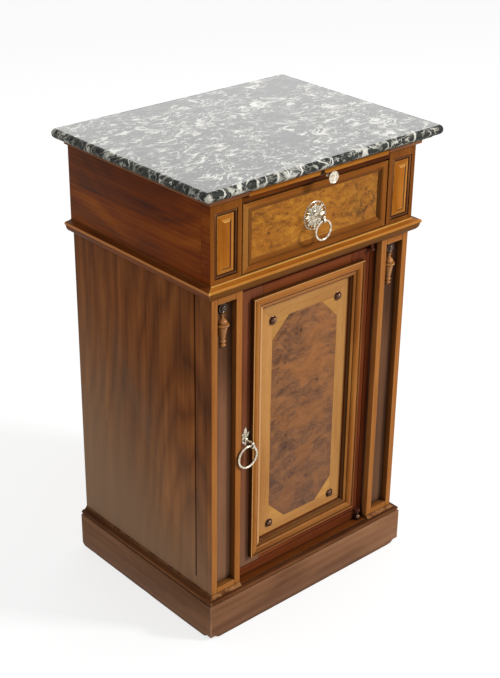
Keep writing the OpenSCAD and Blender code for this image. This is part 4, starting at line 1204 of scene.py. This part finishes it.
def door_moulding():
    """The raised moulding: an arris, a groove, a broad bead that falls inwards, a fillet and a small cove."""
    low, high = span("door_moulding")
    face = span("door_rails")[0].y
    wide = (span("door_panel")[0].x - low.x) / MM
    tall = (face - low.y) / MM
    section = [(0, 0), (0, tall - 0.4), (0.4, tall), (2.0, tall), (2.5, tall - 1.3), (3.2, tall - 1.6)]
    section += arc(8, tall - 7.8, 7.8, 126.1, 90, 10) + arc(8, tall - 7.14, 7.14, 86, 29.7, 12)
    section += [(14.6, tall - 4.3), (15.2, tall - 4.5), (15.6, tall - 4.1), (20.2, tall - 4.6)]
    section += arc(wide - 0.5, tall - 4.8, 2.9, 180, 255, 8) + [(wide, 0)]
    bm = bmesh.new()
    add_frame_strips(bm, in_metres(section), low, high, face, shading=raised_shading)
    stand_for(make_piece(bm, "door_raised_moulding", RAISED_WOOD), "orange_wood", "door_moulding")


def block_beads():
    """The small beads in the sunk fields of the two corner blocks."""
    low, high = span("block_beads")
    panel_low, panel_high = span("block_panel_left")
    wide = (panel_low.x - low.x) / MM

    def shade_beside(member, u, v):
        """Painted shade lies on both sides of the bead."""
        return 0.9 if u < 0.8 or u > wide - 1.2 else 0.0

    section = [(0, 0), (0, 0.9), (0.6, 1.2)] + arc(wide - 3.6, 1.0, 2.3, 165, 10, 12)
    section += [(wide - 1.0, 0.6), (wide, 0.4), (wide, 0)]
    section = in_metres(section)
    width = panel_high.x - panel_low.x + 2 * wide * MM
    bm = bmesh.new()
    for x in (low.x, high.x - width):
        add_frame_strips(bm, section, Vector((x, 0, low.z)), Vector((x + width, 0, high.z)), high.y,
                         shading=shade_beside)
    stand_for(make_piece(bm, "corner_block_beads", BEAD_WOOD), "orange_wood", "block_beads")


# ---------- turned and cast work ----------

def split_turnings():
    """The half turnings at the heads of the pilasters, and the round pateras above them."""
    outline = [(0.0, 0.08), (0.03, 0.22), (0.06, 0.30), (0.075, 0.42), (0.10, 0.52), (0.125, 0.44),
               (0.14, 0.34), (0.165, 0.34), (0.18, 0.46), (0.205, 0.54), (0.23, 0.46), (0.245, 0.40),
               (0.30, 0.46), (0.40, 0.56), (0.50, 0.66), (0.60, 0.74), (0.615, 0.66), (0.63, 0.90),
               (0.655, 1.0), (0.685, 0.96), (0.70, 0.66), (0.715, 0.62), (0.735, 0.74), (0.76, 0.70),
               (0.80, 0.60), (0.83, 0.42), (0.87, 0.28), (0.93, 0.34), (1.0, 0.50)]
    for side in ("left", "right"):
        low, high = span("split_turning_" + side)
        radius = (high.x - low.x) / 2
        patera_z = high.z - 0.8 * radius
        height = (high.z - low.z) - 1.55 * radius
        tree = turned_from_outline("pilaster_turning", outline, height, radius, TURNED_WOOD)
        mid_x = (low.x + high.x) / 2
        drop = tree.run("turning_" + side, Matrix.Translation((mid_x, high.y, low.z)))
        bm = bmesh.new()
        r = 0.8 * radius
        add_lathe(bm, [(0, 0), (r, 0), (r, 1.6 * MM), (r * 0.95, 2.6 * MM), (r * 0.84, 3.1 * MM),
                       (r * 0.74, 2.7 * MM), (r * 0.68, 2.1 * MM), (r * 0.62, 2.3 * MM),
                       (r * 0.5, 4.4 * MM), (r * 0.34, 5.5 * MM), (r * 0.16, 5.8 * MM), (0, 5.85 * MM)],
                  Vector((mid_x, high.y, patera_z)), -Y, 40)
        patera = make_piece(bm, "patera_" + side, [PATERA_WOOD])
        stand_for(join([drop, patera], "split_turning_%s_finished" % side), "orange_wood",
                  "split_turning_" + side)


def ring_eye(bm, centre, axis, wire_r, wall, length):
    """A short tube with rounded ends, for the ring's wire."""
    inner, outer = wire_r, wire_r + wall
    half = length / 2
    outline = [(inner, -half + 0.4 * MM), (inner + 0.4 * MM, -half), (outer - 0.5 * MM, -half),
               (outer, -half + 0.6 * MM), (outer, half - 0.6 * MM), (outer - 0.5 * MM, half),
               (inner + 0.4 * MM, half), (inner, half - 0.4 * MM)]
    side = axis.orthogonal().normalized()
    other = axis.cross(side)
    skin_round(bm, [[bm.verts.new(centre + axis * a + (side * math.cos(t) + other * math.sin(t)) * r)
                     for r, a in outline] for t in round_angles(32)])


def ring_pull(boss_node, ring_node, plate_face):
    """A ball on a stem with an eye under it, and the ring that hangs in the eye."""
    ring_low, ring_high = span(ring_node)
    wire = ring_high.y - ring_low.y
    joint = next(j for j in frame["joints"] if j["child"] == BODY_OF[ring_node])
    pivot = Vector(joint["pos_m"])
    axis = Vector(joint["axis"]).normalized()
    radius = (ring_high.x - ring_low.x) / 2 - wire / 2
    centre = (ring_low + ring_high) / 2
    bm = bmesh.new()
    add_ring(bm, centre, radius, wire, Y, wave=0.02)
    stand_for(make_piece(bm, ring_node + "_finished", [SILVERED]), "silvered_brass", ring_node)
    ball_rise, clear, ball_r = 4.9 * MM, 0.6 * MM, 3.1 * MM
    bm = bmesh.new()
    ring_eye(bm, pivot, axis, wire / 2 + clear, 1.5 * MM, 4.6 * MM)
    reach = (plate_face - pivot.y) / MM
    outline = [(0, -ball_r)] + arc(0, 0, ball_r, -75, 45, 8)
    outline += in_metres([(2.0, 3.0), (1.7, 4.2), (2.3, 5.4), (1.8, 6.4), (1.8, reach - 3),
                          (2.6, reach - 2.2), (4.2, reach - 0.8), (4.4, reach), (0, reach)])
    add_lathe(bm, outline, pivot + Z * ball_rise, Y, 32)
    stand_for(make_piece(bm, boss_node + "_finished", [SILVERED]), "silvered_brass", boss_node)


def rosette():
    """The pierced rosette behind the drawer's ring: two rounds of leaves, beads and a domed middle."""
    low, high = span("drawer_rosette")
    r = (high.x - low.x) / 2
    place = middle_of_back("drawer_rosette")

    def one_leaf(name, length, width, thick, curl, serrations):
        bm = bmesh.new()
        add_leaf(bm, Vector((0, 0, 0)), X, Z, length * r, width * r, thick * MM, curl * MM, serrations)
        return make_piece(bm, name, [SILVERED])

    long_leaf = one_leaf("long_leaf", 0.52, 0.30, 2.0, 0.9, 3)
    short_leaf = one_leaf("short_leaf", 0.42, 0.18, 1.5, 0.4, 2)
    bm = bmesh.new()
    bmesh.ops.create_icosphere(bm, subdivisions=2, radius=0.95 * MM)
    bead = make_piece(bm, "bead", [SILVERED])
    flat = facing_front(place)
    rounds = [copies_in_a_ring(name, part, count, share * r, turn, SILVERED).run(name, flat)
              for name, part, count, share, turn in (("long_leaves", long_leaf, 8, 0.38, 0.0),
                                                     ("short_leaves", short_leaf, 8, 0.36, math.pi / 8),
                                                     ("rim_beads", bead, 24, 0.88, math.pi / 24),
                                                     ("middle_beads", bead, 18, 0.37, 0.0))]
    for part in (long_leaf, short_leaf, bead):
        bpy.data.objects.remove(part)
    bm = bmesh.new()
    # the thin rim, and two bands between the leaves
    for radius, wide, tall in ((0.96 * r, 0.9 * MM, 0.8 * MM), (0.66 * r, 1.0 * MM, 0.8 * MM),
                               (0.38 * r, 1.6 * MM, 1.0 * MM)):
        inner, outer = radius - wide / 2, radius + wide / 2
        add_band(bm, place, ((inner, 0), (inner, tall * 0.7), (radius, tall), (outer, tall * 0.7),
                             (outer, 0)), 72)
    add_lathe(bm, [(0, 0), (0.34 * r, 0), (0.34 * r, 1.0 * MM), (0.30 * r, 1.7 * MM), (0.25 * r, 1.3 * MM),
                   (0.20 * r, 2.3 * MM), (0.12 * r, 3.2 * MM), (0, 3.4 * MM)], place, -Y, 40)
    middle_part = make_piece(bm, "rosette_middle", [SILVERED])
    stand_for(join(rounds + [middle_part], "pierced_rosette"), "silvered_brass", "drawer_rosette")


def leaf_plate():
    """The leaf-shaped plate behind the door's ring: a pointed leaf over scrolls and a round foot."""
    low, high = span("pull_plate")
    w, h = high.x - low.x, high.z - low.z
    foot = Vector(((low.x + high.x) / 2, high.y, low.z))
    thick = high.y - low.y
    bm = bmesh.new()
    # where each leaf starts and points, its length and width as shares of the plate's, its rise and its teeth
    for x, z, angle, length, width, rise, teeth in (
            (0, 0.50, 0, 0.50, 0.46, 1.0, 3), (-0.05, 0.44, -38, 0.34, 0.34, 0.9, 3),
            (0.05, 0.44, 38, 0.34, 0.34, 0.9, 3), (-0.06, 0.44, -100, 0.22, 0.36, 0.8, 2),
            (0.06, 0.44, 100, 0.22, 0.36, 0.8, 2), (-0.04, 0.16, -52, 0.24, 0.36, 0.85, 2),
            (0.04, 0.16, 52, 0.24, 0.36, 0.85, 2), (0, 0.46, 180, 0.46, 0.40, 0.95, 3)):
        along = Vector((math.sin(math.radians(angle)), 0, math.cos(math.radians(angle))))
        add_leaf(bm, foot + Vector((x * w, 0, z * h)), along, -Y, length * h, width * w, thick * rise, 0.0,
                 teeth)
    for z, share in ((0.46, 0.17), (0.20, 0.15)):
        r = share * w
        add_lathe(bm, [(0, 0), (r, 0), (r, thick * 0.7), (r * 0.7, thick), (0, thick)],
                  foot + Vector((0, 0, z * h)), -Y, 28)
    stand_for(make_piece(bm, "leaf_plate", [SILVERED]), "silvered_brass", "pull_plate")


def slide_knob():
    """The slide's knob: a thin turned disc on a stem, with its leafy rose."""
    low, high = span("slide_knob")
    rose_low, rose_high = span("knob_rose")
    r, length = (high.x - low.x) / 2, high.y - low.y
    place = middle_of_back("slide_knob")
    outline = [(0, 0), (2.2 * MM, 0), (2.2 * MM, length * 0.35), (3.0 * MM, length * 0.42),
               (2.0 * MM, length * 0.5), (1.9 * MM, length - 5 * MM), (3.2 * MM, length - 3.2 * MM)]
    outline += [(r * share, length - back * MM) for share, back in (
        (0.9, 2.4), (1, 1.7), (1, 0.9), (0.94, 0.3), (0.82, 0.15), (0.76, 0.5), (0.55, 0.25), (0.2, 0))]
    bm = bmesh.new()
    add_lathe(bm, outline + [(0, length)], place, -Y, 56)
    stand_for(make_piece(bm, "slide_knob_finished", [SILVERED]), "silvered_brass", "slide_knob")
    wide, thick, inner = rose_high.x - rose_low.x, rose_high.y - rose_low.y, 2.3 * MM

    def petals(angle):
        """The rim's radius, drawn in between eight leaves."""
        return wide / 2 * (1 - 0.07 * (0.5 + 0.5 * math.cos(8 * angle)))

    def section(rim):
        return ((inner, 0), (inner, thick), (inner + 0.7 * MM, thick), (rim * 0.8, thick * 0.75),
                (rim, thick * 0.25), (rim, 0))

    bm = bmesh.new()
    add_band(bm, place, section, 40, petals)
    stand_for(make_piece(bm, "knob_rose_finished", [BROWNED]), "dark_iron", "knob_rose")


def door_studs():
    """Four domed studs, set on the corners of the burl panel's rectangle."""
    low, high = span("door_studs")
    burl_low, burl_high = span("door_burl")
    r = ((high.x - low.x) - (burl_high.x - burl_low.x)) / 2
    tall = high.y - low.y
    bm = bmesh.new()
    add_lathe(bm, [(0, 0), (r * 0.98, 0), (r * 0.97, 0.6 * MM), (r * 0.9, 1.0 * MM), (r * 0.85, 0.8 * MM)]
              + [(r * 0.8 * math.cos(a), 0.8 * MM + (tall - 0.8 * MM) * math.sin(a))
                 for a in (math.radians(7.5 * i) for i in range(13))],
              Vector((0, 0, 0)), Z, 40)
    stud = make_piece(bm, "stud", [BROWNED])
    tree = Tree("studs_at_corners", Part=stud, Width=high.x - low.x - 2 * r, Height=high.z - low.z - 2 * r,
                Finish=BROWNED)
    grid = tree.node("GeometryNodeMeshGrid", Size_X=tree.value["Width"], Size_Y=tree.value["Height"],
                     Vertices_X=2, Vertices_Y=2)
    tree.close(tree.copies(grid.outputs[0]))
    piece = tree.run("domed_studs", facing_front(middle_of_back("door_studs")))
    bpy.data.objects.remove(stud)
    stand_for(piece, "dark_iron", "door_studs")


def hinge_pins():
    """The lower pin's ball, ringed and flattened on the ledge, and the plain upper pin."""
    low, high = span("hinge_pins")
    plates_low, plates_high = span("hinge_plates")
    ball_r, pin_r, into_plate = 5.4 * MM, 2 * MM, 2.4 * MM
    place = Vector((low.x + ball_r, low.y + ball_r, low.z))
    bm = bmesh.new()
    outline = [(0, 0), (3.6 * MM, 0), (4.2 * MM, 0.6 * MM)]
    outline += arc(0, 0.9 * ball_r, ball_r, -42, 66, 12)
    lower_top = plates_low.z + into_plate
    outline = [(r, min(z, lower_top)) for r, z in outline]
    outline += [(pin_r, outline[-1][1] + 0.2 * MM), (pin_r, lower_top - low.z), (0, lower_top - low.z)]
    add_lathe(bm, outline, place, Z, 40)
    foot = plates_high.z - into_plate
    outline = [(0, foot), (pin_r, foot), (pin_r, high.z), (0, high.z)]
    add_lathe(bm, outline, Vector((place.x, place.y, 0)), Z, 40)
    pins = make_piece(bm, "hinge_pins_finished", [BROWNED])
    pins.data.materials.append(PAINTED_IRON)
    for face in pins.data.polygons:
        face.material_index = 1 if face.center.z > (low.z + high.z) / 2 else 0
    stand_for(pins, "dark_iron", "hinge_pins")


# ---------- everything in its place ----------

def refinish(piece, finish, chosen):
    """Gives another finish to the faces of a piece whose centre is chosen."""
    piece.data.materials.append(finish)
    for face in piece.data.polygons:
        if chosen(face.center):
            face.material_index = len(piece.data.materials) - 1


def shade_on_front(share):
    """Painted shade on the faces that look to the front."""
    def amount(centre, normal):
        return share if normal.y < -0.5 else 0.0
    return amount


def shaded_all_over(centre, normal):
    """Painted shade: the rail under the slide is dark all over."""
    return 0.7


def shade_on_ledge(centre, normal):
    """Painted shade on the base board's top, and its edges are worn pale."""
    return 0.62 if normal.z > 0.5 else -0.2


def shade_under_panel(centre, normal):
    """Painted shade on the door's lower rail."""
    return 0.12 if centre.z < span("door_panel")[0].z else 0.0


def shade_round_burl(centre, normal):
    """Painted shade: a little on the pale frame's head, and more on its right member."""
    burl_high = span("door_burl")[1]
    if centre.z > burl_high.z:
        return 0.06
    return 0.16 if centre.x > burl_high.x else 0.0


# the stiles' right halves take a darker, redder copy of the walnut as painted shade; the left halves keep the
# paler mauve
def shaded_right_half(centre):
    return centre.x > 0


def shade_in_openings(node, share):
    """Painted shade on the walls of a node's openings."""
    low, high = span(node)

    def amount(centre, normal):
        inside = min(centre.x - low.x, high.x - centre.x, centre.z - low.z, high.z - centre.z) > 1 * MM
        return share if inside and abs(normal.y) < 0.5 else 0.0
    return amount


def plain(node, ease, grain=None):
    """A softwood board."""
    eased(node, SOFTWOOD, "plain_softwood", ease, grain)


def build():
    """Every piece: the case from the top down, then the slide, the drawer and the door."""
    marble_top()
    cornice_moulding()
    for side in ("left", "right"):
        eased("upper_side_" + side, DARK_WALNUT, "dark_walnut", 0.7, "Y")
        eased("corner_block_" + side, BLOCK_WOOD, "orange_wood", 0.7, "Z", DARK_WALNUT[1],
              shade_in_openings("corner_block_" + side, 0.8))
        eased("lower_side_" + side, WALNUT, "walnut", 0.6, "Z")
        # the right post's front, seen at the back of its recess, takes painted shade
        eased("corner_post_" + side, POST_WALNUT, "walnut", 0.6, "Z", WALNUT[2],
              shade_on_front(0.0 if side == "left" else 0.5))
        eased("pilaster_frame_" + side, ORANGE_WOOD, "orange_wood", 0.7, None, WALNUT[2],
              shade_in_openings("pilaster_frame_" + side, 0.55))
        plain("drawer_side_" + side, 0.8)
    block_beads()
    block_panels()
    eased("slide_rail", DARK_WALNUT, "red_walnut", 0.6, face_shading=shaded_all_over)
    plain("slide_bearers", 0.5)
    plain("drawer_guides", 0.5)
    eased("waist_board", WALNUT, "walnut", 0.6, "X")
    waist_moulding()
    split_turnings()
    stiles = eased("surround_stiles", MAUVE_WALNUT, "red_walnut", 0.8)
    refinish(stiles, RED_WALNUT[2], shaded_right_half)
    eased("surround_rails", RED_WALNUT, "red_walnut", 0.8, face_shading=shade_on_front(0.12))
    plain("door_stop", 0.5)
    eased("base_board", NOSE_WOOD, "walnut", 0.6, "X", face_shading=shade_on_ledge)
    plain("back_panel", 0.6, "Z")
    plinth_boards()
    plain("plinth_back", 0.6)
    plinth_moulding()
    plain("glue_blocks", 0.8)
    hinge_pins()
    plain("slide_board", 0.5)
    eased("slide_lipping", GOLDEN_WOOD, "orange_wood", 0.4, "X")
    slide_knob()
    plain("drawer_front", 0.5)
    drawer_frame()
    eased("drawer_burl", [DRAWER_BURL], "burl", 0.3)
    plain("drawer_back", 0.6)
    plain("drawer_bottom", 0.5)
    rosette()
    ring_pull("drawer_boss", "drawer_ring", span("drawer_rosette")[0].y + 0.4 * MM)
    stiles = eased("door_stiles", MAUVE_WALNUT, "walnut", 0.7)
    refinish(stiles, RED_WALNUT[2], shaded_right_half)
    eased("door_rails", RED_WALNUT, "walnut", 0.7, face_shading=shade_under_panel)
    door_moulding()
    plain("door_panel", 0.4, "Z")
    eased("pale_frame", PALE_WOOD, "pale_wood", 0.25, face_shading=shade_round_burl)
    eased("corner_fillets", TRIANGLE_WOOD, "pale_wood", 0.25)
    eased("door_burl", [DOOR_BURL], "burl", 0.3)
    door_studs()
    eased("hinge_plates", [PAINTED_IRON], "dark_iron", 0.4)
    leaf_plate()
    ring_pull("pull_boss", "door_ring", span("pull_plate")[0].y + 0.2 * MM)


# how pale the floor is, how much it glows where it is looked at, and the daylight that falls on things
FLOOR_TONE, FLOOR_GLOW, SKY_LIGHT = 0.38, 0.7, 0.62
FLOOR_HALF = 9.0
# the camera, solved from the straight edges of the case in the photo: millimetres, metres, degrees
FOCAL_LENGTH, SENSOR = 73.736, 36
CAMERA_AT = (-1.35710, -1.52550, 1.43068)
YAW, PITCH, ROLL = 41.816, 26.599, 0.777


def looked_at(tree):
    """1 for what is looked at directly, in a reflection or through something, 0 for light on other things."""
    path = tree.nodes.new("ShaderNodeLightPath")
    seen = path.outputs["Is Camera Ray"]
    for kind in ("Is Glossy Ray", "Is Transmission Ray"):
        either = tree.nodes.new("ShaderNodeMath")
        either.operation = "MAXIMUM"
        tree.links.new(seen, either.inputs[0])
        tree.links.new(path.outputs[kind], either.inputs[1])
        seen = either.outputs[0]
    return seen


def floor_material():
    f = Finish("pale_floor", roughness=0.9)
    glow = f.node("ShaderNodeEmission")
    glow.inputs["Color"].default_value = (1, 1, 1, 1)
    f.put(glow.inputs["Strength"], f.math("MULTIPLY", looked_at(f.tree), FLOOR_GLOW))
    plain_tone = f.node("ShaderNodeBsdfDiffuse")
    plain_tone.inputs["Color"].default_value = (FLOOR_TONE, FLOOR_TONE, FLOOR_TONE, 1)
    both = f.node("ShaderNodeAddShader")
    f.put(both.inputs[0], plain_tone.outputs[0])
    f.put(both.inputs[1], glow.outputs[0])
    f.put(f.tree.nodes["Material Output"].inputs["Surface"], both.outputs[0])
    f.tree.nodes.remove(f.shader)
    return f.material


def floor():
    """A plain pale floor that keeps the object's shadow."""
    bm = bmesh.new()
    bm.faces.new([bm.verts.new((x * FLOOR_HALF, y * FLOOR_HALF, 0))
                  for x, y in ((-1, -1), (1, -1), (1, 1), (-1, 1))])
    mesh = bpy.data.meshes.new("floor")
    bm.to_mesh(mesh)
    bm.free()
    mesh.materials.append(floor_material())
    new_object("floor", mesh)


def lamp(name, place, target, wide, tall, watts):
    """A soft rectangular lamp that points at a target."""
    light = bpy.data.lights.new(name, "AREA")
    light.shape, light.size, light.size_y, light.energy = "RECTANGLE", wide, tall, watts
    made = new_object(name, light)
    made.location = place
    made.rotation_euler = (Vector(target) - Vector(place)).to_track_quat("-Z", "Y").to_euler()


def lights():
    """A white studio all round, one window at the front right and a sheet behind."""
    world = bpy.data.worlds.new("studio")
    bpy.context.scene.world = world
    world.use_nodes = True
    tree = world.node_tree
    sky = tree.nodes["Background"]
    level = tree.nodes.new("ShaderNodeMapRange")
    tree.links.new(looked_at(tree), level.inputs[0])
    level.inputs["To Min"].default_value = SKY_LIGHT
    level.inputs["To Max"].default_value = 1.0
    tree.links.new(level.outputs[0], sky.inputs["Strength"])
    sky.inputs["Color"].default_value = (1, 1, 1, 1)
    lamp("front_right_window", (2.1, -2.7, 2.5), (0, 0, 0.4), 0.6, 0.6, 92)
    lamp("back_sheet", (1.4, 2.4, 2.0), (0, 0, 0.75), 3.0, 1.8, 6)


def camera():
    """At the photograph's viewing angle, found from the case's straight edges."""
    data = bpy.data.cameras.new("camera")
    data.sensor_width, data.lens = SENSOR, FOCAL_LENGTH
    data.clip_start, data.clip_end = 0.05, 50
    yaw, pitch, roll = (math.radians(angle) for angle in (YAW, PITCH, ROLL))
    ahead = Vector((math.sin(yaw) * math.cos(pitch), math.cos(yaw) * math.cos(pitch), -math.sin(pitch)))
    level = Vector((math.cos(yaw), -math.sin(yaw), 0))
    up = level.cross(ahead)
    right = level * math.cos(roll) + up * math.sin(roll)
    top = up * math.cos(roll) - level * math.sin(roll)
    made = new_object("camera", data)
    turn = Matrix((right, top, -ahead)).transposed()
    made.matrix_world = Matrix.Translation(CAMERA_AT) @ turn.to_4x4()
    bpy.context.scene.camera = made


bpy.context.scene.view_settings.view_transform = "Standard"
camera()
lights()
floor()
build()
